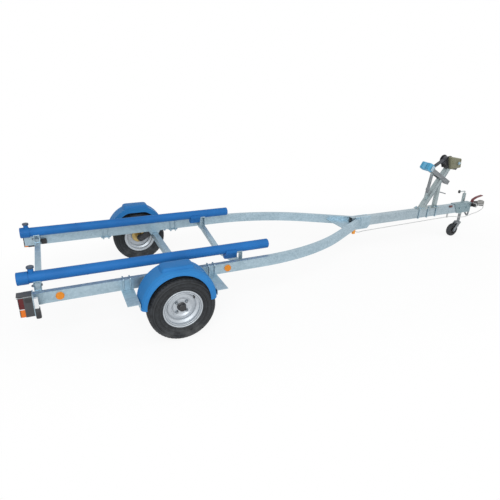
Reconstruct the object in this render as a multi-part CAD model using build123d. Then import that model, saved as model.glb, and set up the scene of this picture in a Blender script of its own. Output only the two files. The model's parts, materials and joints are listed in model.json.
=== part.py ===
from build123d import *
import os
from math import atan2, cos, hypot, pi, radians, sin, sqrt, tan

# A single-axle boat trailer: galvanised tube chassis, two blue bunks, torsion axle,
# winch post, ball coupling and jockey wheel. Millimetres, +X towards the coupling,
# +Y to the left, +Z up, floor at z = 0. It is drawn with x = 0 at the wheel centres,
# and moved at the end so that the origin is under the middle of its box.

# Wheels
WHEEL_DIAMETER = 486.0
TYRE_WIDTH = 145.0
TREAD_WIDTH = 104.0
TREAD_FLAT = 30.0
TYRE_WALL = 11.0
BEAD_RADIUS = 127.0
RIM_FLANGE_RADIUS = 144.0
RIM_WIDTH = 102.0
RIM_WALL = 3.5
RIM_WELL_DEPTH = 17.0
WELL_HALF = 16.0
WELL_SHOULDER = 26.0
DISC_FACE = 10.0
DISC_WALL = 5.0
DISC_CROWN = 9.0
WHEEL_RAIL_GAP = 99.5
BOLT_CIRCLE = 100.0
BOLT_HOLE = 15.0
WHEEL_BOLTS = 4
HUB_PILOT_RADIUS = 30.0
HUB_FLANGE_RADIUS = 66.0
HUB_BARREL_RADIUS = 34.0
ARM_COLLAR_RADIUS = 30.0
HUB_LENGTH = 62.0
HUB_FLANGE = 9.0
HUB_CAP = 26.0
HUB_CAP_STEP = 4.0
STUB_RADIUS = 16.0

# Chassis rails
RAIL_HEIGHT = 80.0
RAIL_WIDTH = 40.0
TUBE_WALL = 3.0
FRAME_WIDTH = 1116.0
RAIL_BOTTOM = 349.0
RAIL_REAR = -985.0
BEND_START = 720.0
BEND_RADIUS = 1850.0
BEND_ANGLE = 30.5

# Drawbar and its junction with the rails
DRAWBAR_WIDTH = 50.0
DRAWBAR_HEIGHT = 100.0
DRAWBAR_BOTTOM = 341.0
DRAWBAR_LAP = 119.0
DRAWBAR_FRONT = 3690.0
JUNCTION_LAP = 79.0
JUNCTION_LENGTH = 190.0
JUNCTION_DROP = 30.0
JUNCTION_PLATE = 6.0
GUSSET_LENGTH = 185.0
GUSSET_PLATE = 6.0

# Cross-members
CROSS_TUBE = 40.0
REAR_CROSS_X = -885.0
FRONT_CROSS_X = 555.0
FRONT_CROSS_DROP = 95.0

# Axle
AXLE_TUBE = 50.0
AXLE_X = 112.0
AXLE_Z = 310.0
ARM_THICKNESS = 20.0
ARM_EYE_RADIUS = 34.0
ARM_TIP_RADIUS = 27.0
ARM_GAP = 14.0
SADDLE_LENGTH = 110.0

# Mudguards
GUARD_RADIUS = 268.0
GUARD_WALL = 4.0
GUARD_CENTRE_X = -20.0
GUARD_CENTRE_Z = 294.0
GUARD_HEIGHT = 254.0
GUARD_CROWN_ROUNDING = 120.0
GUARD_OPENING_RADIUS = 224.0
GUARD_OPENING_SHIFT = -8.0
GUARD_LIP = 16.0
GUARD_ROUNDING = 40.0
GUARD_INNER_REACH = 90.0
GUARD_OUTER_REACH = 82.0
STEP_PAD_LENGTH = 140.0
STEP_PAD_MARGIN = 22.0
STEP_PAD_RISE = 3.0

# Mudguard brackets and the U-bolts that clamp them to the rails
BRACKET_PLATE = 4.0
BRACKET_LENGTH = 84.0
BRACKET_TAB = 38.0
BRACKET_INNER_LAP = 18.0
U_BOLT_DIAMETER = 10.0
U_BOLT_SPACING = 46.0
U_BOLT_TAIL = 16.0
U_BOLT_BEND = 6.0
FACE_GAP = 0.3

# Bunks
BUNK_DIAMETER = 75.0
BUNK_WALL = 4.0
BUNK_INSET = 77.0
BUNK_Z = 495.0
BUNK_REAR = -1001.0
BUNK_FRONT = 813.0
BUNK_CAP_DIAMETER = 86.0
BUNK_CAP_LENGTH = 70.0
BUNK_CAP_END = 6.0
BUNK_CAP_ROUNDING = 5.0
LEFT_POST_SETBACK = 50.0
RIGHT_POST_SETBACK = 90.0
STUB_POST_DIAMETER = 36.0
STUB_POST_HEIGHT = 30.0
STUB_CAP_DIAMETER = 48.0
STUB_CAP_HEIGHT = 12.0
BUNK_PLATE = 5.0
BUNK_PLATE_LENGTH = 44.0
CRADLE_LENGTH = 92.0
CRADLE_WALL = 7.0
CRADLE_DROP = 34.0

# Lamps and reflectors
LAMP_HEIGHT = 148.0
LAMP_WIDTH = 78.0
LAMP_INNER_GAP = 6.0
LAMP_PLATE_X = -915.0
LAMP_PLATE = 4.0
LAMP_FOOT = 52.0
LAMP_HOUSING_DEPTH = 50.0
LAMP_LENS_DEPTH = 30.0
LAMP_AMBER_HEIGHT = 58.0
LAMP_VISOR = 8.0
LAMP_VISOR_REACH = 38.0
LAMP_DIVIDER = 4.0
MARKER_WIDTH = 28.0
MARKER_DEPTH = 30.0
MARKER_LENS_HEIGHT = 70.0
MARKER_BODY_HEIGHT = 50.0
REFLECTOR_DIAMETER = 52.0
REFLECTOR_THICKNESS = 7.0
REFLECTOR_X = (-759.0, 421.0)
FRONT_MARKER_LAP = 134.0
FRONT_MARKER_HEIGHT = 52.0
FRONT_MARKER_WIDTH = 30.0
FRONT_MARKER_DEPTH = 22.0

# Winch post, in the middle plane
POST_PLATE = 6.0
POST_REAR = 2892.0
POST_FRONT = 3186.0
POST_WIDTH = 92.0
POST_CLAMPS_X = (2912.0, 3038.0, 3164.0)
MAST_TUBE = 50.0
MAST_FOOT_X = 2955.0
MAST_LEAN = 33.0
MAST_HEIGHT = 424.0
BRACE_TUBE = 38.0
BRACE_X = 3150.0
STRUT_TUBE = 24.0
STRUT_FOOT = (2988.0, 530.0)
STRUT_HEAD = (3022.0, 850.0)
BOW_ARM_DEPTH = 44.0
BOW_ARM_WALL = 5.0
BOW_ARM_REAR = (2962.0, 884.0)
BOW_ARM_SLOPE = 29.5
BOW_ARM_LENGTH = 352.0
BOW_ARM_REAR_END = 95.0
BOW_ARM_FRONT_END = 45.0
BOW_STOP_LENGTH = 76.0
BOW_STOP_HEIGHT = 76.0
BOW_STOP_WIDTH = 112.0
BOW_STOP_ROUNDING = 14.0
BOW_NOTCH = 22.0
BOW_FORK_PLATE = 5.0
BOW_FORK_HEIGHT = 56.0
BOW_FORK_REACH = 40.0
LEVER_DIAMETER = 12.0
LEVER_LENGTH = 86.0
LEVER_DROP = 30.0
LEVER_HEIGHT = 172.0
LEVER_BAR = 60.0
LEVER_BAR_RADIUS = 5.0

# Winch
WINCH_BASE_REAR = 40.0
WINCH_FRONT = 88.0
WINCH_SIDE = [(-40.0, 0.0), (88.0, 0.0), (104.0, 36.0), (78.0, 122.0), (-84.0, 122.0), (-100.0, 84.0)]
WINCH_COVER = [(-30.0, -2.0), (110.0, 34.0), (80.0, 128.0), (-98.0, 128.0)]
WINCH_TILT = 10.0
WINCH_PLATE = 4.0
WINCH_INNER_WIDTH = 84.0
WINCH_COVER_DEPTH = 34.0
WINCH_COVER_ROUNDING = 12.0
DRUM_OFFSET = 56.0
DRUM_LIFT = 80.0
DRUM_RADIUS = 26.0
DRUM_FLANGE_RADIUS = 54.0
DRUM_FLANGE = 5.0
DRUM_SIDE_GAP = 2.0
WINCH_SHAFT_RADIUS = 9.0
STRAP_WIDTH = 50.0
STRAP_THICKNESS = 4.0
STRAP_HOOK = 40.0
STRAP_LIFT = 12.0

# Coupling
SLEEVE_REAR = 3450.0
SLEEVE_LENGTH = 270.0
SLEEVE_WALL = 6.0
SLEEVE_TAPER = 60.0
COUPLING_FRONT = 3962.0
COUPLING_Z = 412.0
NECK_RADIUS = 29.0
HEAD_RADIUS = 37.0
HEAD_HEIGHT = 60.0
BALL_RADIUS = 25.0
BALL_CLEARANCE = 0.3
SOCKET_DEPTH = 22.0
HANDLE_SETBACK = 32.0
HANDLE_BENDS = [(0.0, 0.0), (22.0, 56.0), (72.0, 78.0), (160.0, 94.0)]
HANDLE_WIDTH = 34.0
HANDLE_THICKNESS = 7.0
LIFT_HANDLE_DIAMETER = 18.0
LIFT_HANDLE_DROP = 72.0
LIFT_HANDLE_BEND = 14.0
LIFT_HANDLE_REAR = -58.0
LIFT_HANDLE_LOW = 21.0
LIFT_HANDLE_FRONT = 28.0

# Jockey wheel
JOCKEY_X = 3715.0
JOCKEY_Y = 84.0
JOCKEY_TRAIL = 76.0
JOCKEY_RADIUS = 78.0
JOCKEY_WIDTH = 46.0
JOCKEY_OUTER_RADIUS = 19.0
JOCKEY_OUTER_WALL = 2.5
JOCKEY_TOP = 527.0
JOCKEY_TRAVEL = 90.0
JOCKEY_ENGAGEMENT = 70.0
JOCKEY_CROWN = 8.0
JOCKEY_HUB_RADIUS = 50.0
JOCKEY_TREAD_WIDTH = 14.0
JOCKEY_SHOULDER_WIDTH = 32.0
JOCKEY_SHOULDER_DROP = 3.0
JOCKEY_WALL_DROP = 11.5
JOCKEY_BOSS_RADIUS = 17.5
JOCKEY_BOSS_FLARE = 3.5
JOCKEY_WEB = 15.0
JOCKEY_HUB_RIM = 6.0
JOCKEY_PIN = 7.0
FORK_EYE = 17.0
FORK_HEADROOM = 13.0
FORK_CROWN_REAR = 24.0
FORK_PLATE = 4.0
FORK_CLEARANCE = 6.0
RUNNING_GAP = 0.3
STOP_GAP = 6.0
CLAMP_HEIGHT = 56.0
CLAMP_WALL = 7.0
CRANK_DIAMETER = 10.0
CRANK_ARM = 82.0
CRANK_RISE = 26.0
KNOB_RADIUS = 14.0

# Wiring lead
LEAD_DIAMETER = 7.0
LEAD_ARC_SHARE = 0.45
LEAD_GLAND_RADIUS = 9.0
LEAD_CLIP_WALL = 3.0
LEAD_CLIP_LENGTH = 14.0
PLUG_RADIUS = 19.0
PLUG_LENGTH = 58.0
PLUG_TAIL = 20.0
PLUG_COLLAR = 10.0
PLUG_COLLAR_STEP = 3.0
PLUG_SHOULDER = 6.0
PLUG_TAIL_RADIUS = 4.5
PLUG_HOLDER_WALL = 3.0

# Levels and planes that several pieces share
WHEEL_RADIUS = WHEEL_DIAMETER / 2
RAIL_TOP = RAIL_BOTTOM + RAIL_HEIGHT
RAIL_MIDDLE = RAIL_BOTTOM + RAIL_HEIGHT / 2
RAIL_OUTER = FRAME_WIDTH / 2
RAIL_INNER = RAIL_OUTER - RAIL_WIDTH
DRAWBAR_TOP = DRAWBAR_BOTTOM + DRAWBAR_HEIGHT
DRAWBAR_SIDE = DRAWBAR_WIDTH / 2
JUNCTION_SIDE = DRAWBAR_SIDE + JUNCTION_PLATE
WHEEL_Y = RAIL_OUTER + WHEEL_RAIL_GAP + TYRE_WIDTH / 2
GUARD_INNER_Y = WHEEL_Y - GUARD_INNER_REACH
GUARD_OUTER_Y = WHEEL_Y + GUARD_OUTER_REACH
BUNK_RADIUS = BUNK_DIAMETER / 2
BUNK_Y = RAIL_INNER - BUNK_INSET
BEND_CENTRE_Y = RAIL_OUTER - BEND_RADIUS
BEND_END_X = BEND_START + BEND_RADIUS * sin(radians(BEND_ANGLE))
BEND_END_Y = BEND_CENTRE_Y + BEND_RADIUS * cos(radians(BEND_ANGLE))
RAIL_TIP_X = BEND_END_X + (BEND_END_Y - JUNCTION_SIDE) / tan(radians(BEND_ANGLE))
JUNCTION_REAR = RAIL_TIP_X - JUNCTION_LAP
DRAWBAR_REAR = RAIL_TIP_X - DRAWBAR_LAP
GUSSET_REAR = DRAWBAR_REAR - GUSSET_LENGTH
FRONT_MARKER_X = RAIL_TIP_X - FRONT_MARKER_LAP
ARM_OUTER = WHEEL_Y - TYRE_WIDTH / 2 - ARM_GAP
ARM_INNER = ARM_OUTER - ARM_THICKNESS
POST_TOP = DRAWBAR_TOP + POST_PLATE
SLEEVE_SIDE = DRAWBAR_SIDE + FACE_GAP + SLEEVE_WALL
SLEEVE_BOTTOM = DRAWBAR_BOTTOM - FACE_GAP - SLEEVE_WALL
SLEEVE_FRONT = SLEEVE_REAR + SLEEVE_LENGTH
CROWN_TOP = 2 * JOCKEY_RADIUS + FORK_HEADROOM + JOCKEY_CROWN
LAMP_REAR = LAMP_PLATE_X - LAMP_HOUSING_DEPTH - LAMP_VISOR_REACH
ORIGIN_SHIFT = -(COUPLING_FRONT + min(LAMP_REAR, BUNK_REAR)) / 2
FAR = 6000.0

# Route of the wiring lead from its gland under the drawbar to its parked plug: x, y, z
LEAD_ROUTE = [
    (DRAWBAR_REAR + 66.0, -8.0, 318.0),
    (DRAWBAR_REAR + 67.0, -8.0, 292.0),
    (DRAWBAR_REAR + 86.0, -10.0, 274.0),
    (DRAWBAR_REAR + 116.0, -13.0, 269.0),
    (DRAWBAR_REAR + 160.0, -16.0, 278.0),
    (3330.0, -22.0, 302.0),
    (3412.0, -22.0, 302.0),
    (3470.0, -24.0, 298.0),
    (3530.0, -27.0, 287.0),
    (3594.0, -30.0, 277.0),
    (3660.0, -32.0, 276.0),
    (3716.0, -33.0, 287.0),
    (3770.0, -36.0, 303.0),
    (3830.0, -40.0, 313.0),
    (3880.0, -44.0, 332.0),
    (3912.5, -47.0, 351.0),
    (3922.0, -48.5, 373.5),
    (3915.5, -49.5, 397.0),
    (3896.0, -50.0, 412.0),
    (3812.0, -50.0, 412.0),
]


def block(x0, x1, y0, y1, z0, z1):
    """A box between two corners."""
    return Pos((x0 + x1) / 2, (y0 + y1) / 2, (z0 + z1) / 2) * Box(x1 - x0, y1 - y0, z1 - z0)


def side_profile(points, y0, y1):
    """A polygon of (x, z) points carried across from y0 to y1."""
    face = Plane.XZ * Polygon(*points, align=None)
    return Pos(0, y0, 0) * extrude(face, amount=y1 - y0, dir=(0, 1, 0))


def end_profile(points, x0, x1):
    """A polygon of (y, z) points carried along from x0 to x1."""
    face = Plane.YZ * Polygon(*points, align=None)
    return Pos(x0, 0, 0) * extrude(face, amount=x1 - x0, dir=(1, 0, 0))


def rod(start, end, radius):
    """A round bar between two points."""
    axis = Vector(*end) - Vector(*start)
    return extrude(Plane(origin=start, z_dir=axis) * Circle(radius), amount=axis.length)


def bent_rod(points, bends, diameter):
    """A round bar along straight runs joined by tangent arcs."""
    path = FilletPolyline(*points, radius=bends)
    return sweep(Plane(origin=path @ 0, z_dir=path % 0) * Circle(diameter / 2), path=path)


def beam(start, end, depth, width):
    """A rectangular bar between two (x, z) points of the middle plane."""
    along = (end[0] - start[0], 0, end[1] - start[1])
    frame = Plane(origin=(start[0], 0, start[1]), x_dir=(0, 1, 0), z_dir=along)
    return extrude(frame * Rectangle(width, depth), amount=hypot(along[0], along[2]))


def turned(points, y, x=0.0, z=WHEEL_RADIUS):
    """A ring turned about a cross axle at (x, z): (outward offset, radius) points, left side."""
    face = Polygon(*[(radius, offset) for offset, radius in points], align=None)
    return Pos(x, y, z) * revolve(face, axis=Axis.Y)


def other_side(shape):
    """The mirror image on the right-hand side."""
    return mirror(shape, about=Plane.XZ)


def both_sides(shape):
    """A piece on the left with its mirror image on the right, as two solids."""
    return Compound(children=[*shape.solids(), *other_side(shape).solids()])


def rail_edge(radius):
    """Corner points of one edge of the left rail in plan: rear, bend start, bend middle, bend end, tip."""
    turn = radians(BEND_ANGLE)
    reach = BEND_END_Y / sin(turn)
    start = (BEND_START, BEND_CENTRE_Y + radius)
    middle = (BEND_START + radius * sin(turn / 2), BEND_CENTRE_Y + radius * cos(turn / 2))
    end = (BEND_START + radius * sin(turn), BEND_CENTRE_Y + radius * cos(turn))
    tip = (end[0] + reach * cos(turn), end[1] - reach * sin(turn))
    return (RAIL_REAR, start[1]), start, middle, end, tip


def rail_plan(inset):
    """Plan of the left rail: straight, bent inwards, then straight to the drawbar."""
    outer = rail_edge(BEND_RADIUS - inset)
    inner = rail_edge(BEND_RADIUS - RAIL_WIDTH + inset)
    edges = [
        Line(outer[0], outer[1]),
        ThreePointArc(*outer[1:4]),
        Line(outer[3], outer[4]),
        Line(outer[4], inner[4]),
        Line(inner[4], inner[3]),
        ThreePointArc(*inner[3:0:-1]),
        Line(inner[1], inner[0]),
        Line(inner[0], outer[0]),
    ]
    return make_face(edges)


def rail():
    """The left rail: a bent rectangular tube, cut off against the junction plate."""
    tube = Pos(0, 0, RAIL_BOTTOM) * extrude(rail_plan(0), amount=RAIL_HEIGHT)
    hollow = extrude(rail_plan(TUBE_WALL), amount=RAIL_HEIGHT - 2 * TUBE_WALL)
    tube -= Pos(0, 0, RAIL_BOTTOM + TUBE_WALL) * hollow
    return tube - block(BEND_START, FAR, -FAR, JUNCTION_SIDE, 0, FAR)


def rail_inner_y(x):
    """Inner face of the left rail's front straight at a station."""
    end, tip = rail_edge(BEND_RADIUS - RAIL_WIDTH)[3:]
    return end[1] + (x - end[0]) * (tip[1] - end[1]) / (tip[0] - end[0])


def rail_middle_y(x):
    """Middle line of the left rail's front straight at a station."""
    return rail_inner_y(x) + RAIL_WIDTH / 2 / cos(radians(BEND_ANGLE))


def drawbar():
    """The drawbar tube, open at both ends."""
    tube = block(DRAWBAR_REAR, DRAWBAR_FRONT, -DRAWBAR_SIDE, DRAWBAR_SIDE, DRAWBAR_BOTTOM, DRAWBAR_TOP)
    inner = DRAWBAR_SIDE - TUBE_WALL
    bottom, top = DRAWBAR_BOTTOM + TUBE_WALL, DRAWBAR_TOP - TUBE_WALL
    return tube - block(DRAWBAR_REAR, DRAWBAR_FRONT, -inner, inner, bottom, top)


def junction_plate():
    """The left side plate that the rail butts against, with its lower front corner cut off."""
    front = JUNCTION_REAR + JUNCTION_LENGTH
    bottom = DRAWBAR_BOTTOM - JUNCTION_DROP
    outline = [
        (JUNCTION_REAR, DRAWBAR_TOP),
        (front, DRAWBAR_TOP),
        (front, DRAWBAR_BOTTOM),
        (front - JUNCTION_DROP, bottom),
        (JUNCTION_REAR, bottom),
    ]
    return side_profile(outline, DRAWBAR_SIDE, JUNCTION_SIDE)


def junction_gusset():
    """The flat plate between the rails behind the drawbar."""
    rear, front = rail_inner_y(GUSSET_REAR), rail_inner_y(DRAWBAR_REAR)
    outline = [(GUSSET_REAR, -rear), (DRAWBAR_REAR, -front), (DRAWBAR_REAR, front), (GUSSET_REAR, rear)]
    plate = extrude(Polygon(*outline, align=None), amount=GUSSET_PLATE)
    return Pos(0, 0, RAIL_MIDDLE - GUSSET_PLATE / 2) * plate


def rear_cross_member():
    """The straight square tube between the rails at the rear."""
    half, inner = CROSS_TUBE / 2, CROSS_TUBE / 2 - TUBE_WALL
    x, z = REAR_CROSS_X, RAIL_MIDDLE
    tube = block(x - half, x + half, -RAIL_INNER, RAIL_INNER, z - half, z + half)
    return tube - block(x - inner, x + inner, -RAIL_INNER, RAIL_INNER, z - inner, z + inner)


def cross_slope():
    """Angle at which each half of the front cross-member falls to the middle."""
    return atan2(FRONT_CROSS_DROP, RAIL_INNER)


def front_cross_z(y):
    """Height of the front cross-member's axis at a distance from the middle."""
    return RAIL_MIDDLE - (RAIL_INNER - abs(y)) * tan(cross_slope())


def front_cross_band(inset):
    """The front cross-member's shallow V, less a wall all round."""
    rise = (CROSS_TUBE / 2 - inset) / cos(cross_slope())
    stations = (-RAIL_INNER, 0, RAIL_INNER)
    upper = [(y, front_cross_z(y) + rise) for y in stations]
    lower = [(y, front_cross_z(y) - rise) for y in reversed(stations)]
    half = CROSS_TUBE / 2 - inset
    return end_profile(upper + lower, FRONT_CROSS_X - half, FRONT_CROSS_X + half)


def front_cross_member():
    """The square tube bent to a shallow V, so that a keel passes over it."""
    return front_cross_band(0) - front_cross_band(TUBE_WALL)


def axle_beam():
    """The square axle tube between the two suspension arms."""
    half = AXLE_TUBE / 2
    inner = half - TUBE_WALL
    tube = block(AXLE_X - half, AXLE_X + half, -ARM_INNER, ARM_INNER, AXLE_Z - half, AXLE_Z + half)
    low, high = AXLE_Z - inner, AXLE_Z + inner
    return tube - block(AXLE_X - inner, AXLE_X + inner, -ARM_INNER, ARM_INNER, low, high)


def axle_arm():
    """The left trailing arm with its collar and stub axle."""
    eye = Pos(AXLE_X, AXLE_Z) * Circle(ARM_EYE_RADIUS)
    tip = Pos(0, WHEEL_RADIUS) * Circle(ARM_TIP_RADIUS)
    outline = make_hull(eye.edges() + tip.edges())
    arm = Pos(0, ARM_INNER, 0) * extrude(Plane.XZ * outline, amount=ARM_THICKNESS, dir=(0, 1, 0))
    hub_end = WHEEL_Y - HUB_LENGTH
    collar_end = hub_end - 2 * RUNNING_GAP
    arm += rod((0, ARM_OUTER, WHEEL_RADIUS), (0, collar_end, WHEEL_RADIUS), ARM_COLLAR_RADIUS)
    return arm + rod((0, ARM_OUTER, WHEEL_RADIUS), (0, WHEEL_Y, WHEEL_RADIUS), STUB_RADIUS)


def axle_saddle():
    """The left saddle that holds the axle tube under the rail."""
    half, cheek = AXLE_TUBE / 2, AXLE_TUBE / 2 + BRACKET_PLATE
    long = SADDLE_LENGTH / 2
    top = AXLE_Z + half
    outline = [
        (AXLE_X - long, RAIL_BOTTOM),
        (AXLE_X + long, RAIL_BOTTOM),
        (AXLE_X + cheek, AXLE_Z),
        (AXLE_X + half, AXLE_Z),
        (AXLE_X + half, top),
        (AXLE_X - half, top),
        (AXLE_X - half, AXLE_Z),
        (AXLE_X - cheek, AXLE_Z),
    ]
    return side_profile(outline, RAIL_INNER, RAIL_OUTER)


def tyre():
    """The left tyre: a carcass with a crowned tread, bulged walls and beads between the rim flanges."""
    bead, wall, tread = RIM_WIDTH / 2 - FACE_GAP, TYRE_WIDTH / 2, TREAD_WIDTH / 2
    seat = BEAD_RADIUS + FACE_GAP
    bulge = (seat + WHEEL_RADIUS) / 2 + TYRE_WALL / 2
    outer = [
        (bead, seat),
        (bead, RIM_FLANGE_RADIUS + FACE_GAP),
        (wall - TYRE_WALL / 3, bulge - 2 * TYRE_WALL),
        (wall, bulge),
        (wall - TYRE_WALL / 2, bulge + 2 * TYRE_WALL),
        (tread + TYRE_WALL / 2, WHEEL_RADIUS - TYRE_WALL / 2),
        (tread - TYRE_WALL / 2, WHEEL_RADIUS - TYRE_WALL / 5),
        (TREAD_FLAT, WHEEL_RADIUS),
    ]
    hollow = [
        (bead - TYRE_WALL, seat - TYRE_WALL),
        (bead - TYRE_WALL, seat + TYRE_WALL),
        (wall - TYRE_WALL, bulge),
        (tread - TYRE_WALL, WHEEL_RADIUS - TYRE_WALL),
    ]
    return turned(mirrored_profile(outer), WHEEL_Y) - turned(mirrored_profile(hollow), WHEEL_Y)


def mirrored_profile(half):
    """A turned profile from its outward half."""
    return half + [(-offset, radius) for offset, radius in reversed(half)]


def rim():
    """The left steel rim: flanged well and dished disc with bolt holes and hub opening."""
    seat, flange = RIM_WIDTH / 2, RIM_WIDTH / 2 + RIM_WALL
    well = BEAD_RADIUS - RIM_WELL_DEPTH
    outside = [
        (flange, RIM_FLANGE_RADIUS),
        (seat, RIM_FLANGE_RADIUS),
        (seat, BEAD_RADIUS),
        (WELL_SHOULDER, BEAD_RADIUS),
        (WELL_HALF, well),
    ]
    inside = [
        (WELL_HALF + RIM_WALL / 2, well - RIM_WALL),
        (WELL_SHOULDER + RIM_WALL / 2, BEAD_RADIUS - RIM_WALL),
        (flange, BEAD_RADIUS - RIM_WALL),
    ]
    other = [(-offset, radius) for offset, radius in reversed(outside)]
    back = [(-offset, radius) for offset, radius in reversed(inside)]
    barrel = turned(outside + other + back + inside, WHEEL_Y)
    crown = BOLT_CIRCLE / 2 + BOLT_HOLE
    disc = [
        (WELL_HALF - RIM_WALL, well - RIM_WALL / 2),
        (WELL_HALF - RIM_WALL - DISC_WALL, well - RIM_WALL / 2),
        (DISC_FACE - DISC_WALL + DISC_CROWN, crown + DISC_CROWN),
        (DISC_FACE - DISC_WALL, crown),
        (DISC_FACE - DISC_WALL, HUB_PILOT_RADIUS + FACE_GAP),
        (DISC_FACE, HUB_PILOT_RADIUS + FACE_GAP),
        (DISC_FACE, crown - DISC_WALL),
        (DISC_FACE + DISC_CROWN, crown + DISC_CROWN),
    ]
    wheel = barrel + turned(disc, WHEEL_Y)
    for index in range(WHEEL_BOLTS):
        angle = 2 * pi * (index + 0.5) / WHEEL_BOLTS
        x, z = BOLT_CIRCLE / 2 * cos(angle), WHEEL_RADIUS + BOLT_CIRCLE / 2 * sin(angle)
        wheel -= rod((x, WHEEL_Y - DISC_WALL, z), (x, WHEEL_Y + RIM_WIDTH, z), BOLT_HOLE / 2)
    return wheel


def hub():
    """The left hub: barrel on the stub axle, wheel flange, pilot and domed grease cap."""
    back = DISC_FACE - DISC_WALL
    bore = STUB_RADIUS + RUNNING_GAP
    cap = HUB_PILOT_RADIUS - HUB_CAP_STEP
    points = [
        (-HUB_LENGTH, bore),
        (-HUB_LENGTH, HUB_BARREL_RADIUS),
        (back - HUB_FLANGE, HUB_BARREL_RADIUS),
        (back - HUB_FLANGE, HUB_FLANGE_RADIUS),
        (back, HUB_FLANGE_RADIUS),
        (back, HUB_PILOT_RADIUS),
        (DISC_FACE + HUB_CAP_STEP, HUB_PILOT_RADIUS),
        (DISC_FACE + HUB_CAP_STEP, cap),
        (DISC_FACE + HUB_CAP, cap),
        (DISC_FACE + HUB_CAP + HUB_CAP_STEP, cap - HUB_CAP_STEP),
        (DISC_FACE + HUB_CAP + HUB_CAP_STEP, 0),
        (RUNNING_GAP * 2, 0),
        (RUNNING_GAP * 2, bore),
    ]
    return turned(points, WHEEL_Y)


def guard_outline(inset):
    """Side view of a mudguard about its own centre, less a wall: a half round with a flat crown."""
    radius, height = GUARD_RADIUS - inset, GUARD_HEIGHT - inset
    outline = Circle(radius) & Pos(0, height / 2) * Rectangle(2 * radius, height)
    return fillet(outline.vertices().sort_by(Axis.Y)[-2:], GUARD_CROWN_ROUNDING - inset)


def guard_body(inset, inner_y, outer_y):
    """A mudguard's outline carried across the wheel."""
    face = Plane.XZ * guard_outline(inset)
    return Pos(0, inner_y, 0) * extrude(face, amount=outer_y - inner_y, dir=(0, 1, 0))


def guard_shell(inset):
    """A solid mudguard with a rounded outer shoulder, less a wall."""
    body = guard_body(inset, GUARD_INNER_Y + inset, GUARD_OUTER_Y - inset)
    shoulder = body.faces().sort_by(Axis.Y)[-1].edges().sort_by(Axis.Z)[1:]
    return fillet(shoulder, GUARD_ROUNDING - inset)


def mudguard():
    """The left mudguard: a half round with a flat crown, an inner lip, a skirt and a step pad."""
    wall, x = GUARD_WALL, GUARD_OPENING_SHIFT
    guard = guard_shell(0) - guard_shell(wall)
    guard -= guard_body(GUARD_LIP, GUARD_INNER_Y, GUARD_INNER_Y + 2 * wall)
    guard -= rod((x, GUARD_INNER_Y, 0), (x, GUARD_OUTER_Y + wall, 0), GUARD_OPENING_RADIUS)
    half, top = STEP_PAD_LENGTH / 2, GUARD_HEIGHT + STEP_PAD_RISE
    inner, outer = GUARD_INNER_Y + STEP_PAD_MARGIN, GUARD_OUTER_Y - GUARD_ROUNDING
    step = block(-half, half, inner, outer, GUARD_HEIGHT - wall / 2, top)
    step = fillet(step.edges().filter_by(Axis.Z), STEP_PAD_MARGIN / 2)
    return Pos(GUARD_CENTRE_X, 0, GUARD_CENTRE_Z) * (guard + step)


def bracket_stations():
    """Start, end and tab faces of the rear and front mudguard brackets."""
    rear = GUARD_CENTRE_X - GUARD_RADIUS - FACE_GAP
    front = GUARD_CENTRE_X + GUARD_RADIUS + FACE_GAP
    return (
        (rear - BRACKET_LENGTH, rear, rear - BRACKET_PLATE, rear),
        (front, front + BRACKET_LENGTH, front, front + BRACKET_PLATE),
    )


def u_bolt_stations():
    """Stations of the U-bolts, two on each bracket."""
    middles = [(start + end) / 2 for start, end, *tab in bracket_stations()]
    return [middle + side * U_BOLT_SPACING / 2 for middle in middles for side in (-1, 1)]


def u_bolt_legs():
    """Distances from the middle of the inner and outer legs of a rail's U-bolt."""
    room = FACE_GAP + U_BOLT_DIAMETER / 2
    return RAIL_INNER - room, RAIL_OUTER + BRACKET_PLATE + room


def mudguard_brackets():
    """The left pair of angle brackets: shelf under the rail, flange on its side, tab behind the guard."""
    shelf_bottom = RAIL_BOTTOM - BRACKET_PLATE
    shelf_outer = GUARD_OUTER_Y - GUARD_ROUNDING / 2
    brackets = []
    for start, end, tab_start, tab_end in bracket_stations():
        angle = block(start, end, RAIL_INNER - BRACKET_INNER_LAP, shelf_outer, shelf_bottom, RAIL_BOTTOM)
        angle += block(start, end, RAIL_OUTER, RAIL_OUTER + BRACKET_PLATE, shelf_bottom, RAIL_TOP)
        tab_bottom = RAIL_BOTTOM - BRACKET_TAB
        angle += block(tab_start, tab_end, GUARD_INNER_Y, shelf_outer, tab_bottom, RAIL_BOTTOM)
        for x in u_bolt_stations():
            for y in u_bolt_legs():
                hole = U_BOLT_DIAMETER / 2 + FACE_GAP
                angle -= rod((x, y, shelf_bottom), (x, y, RAIL_BOTTOM), hole)
        brackets += angle.solids()
    return Compound(children=brackets)


def u_bolt(points):
    """A U-bolt along its corner points."""
    return bent_rod(points, U_BOLT_BEND, U_BOLT_DIAMETER)


def rail_u_bolts():
    """The left U-bolts, over the rail and down through the bracket shelves."""
    inner, outer = u_bolt_legs()
    top = RAIL_TOP + FACE_GAP + U_BOLT_DIAMETER / 2
    bottom = RAIL_BOTTOM - BRACKET_PLATE - U_BOLT_TAIL
    bolts = []
    for x in u_bolt_stations():
        bolts += u_bolt([(x, inner, bottom), (x, inner, top), (x, outer, top), (x, outer, bottom)]).solids()
    return Compound(children=bolts)


def bunk():
    """The left bunk: a sleeved tube that the hull rests on."""
    start, end = BUNK_REAR + BUNK_CAP_END, BUNK_FRONT - BUNK_CAP_END
    tube = rod((start, BUNK_Y, BUNK_Z), (end, BUNK_Y, BUNK_Z), BUNK_RADIUS)
    return tube - rod((start, BUNK_Y, BUNK_Z), (end, BUNK_Y, BUNK_Z), BUNK_RADIUS - BUNK_WALL)


def bunk_cylinder(margin):
    """The space of the left bunk with a margin round it."""
    return rod((-FAR, BUNK_Y, BUNK_Z), (FAR, BUNK_Y, BUNK_Z), BUNK_RADIUS + margin)


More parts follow.
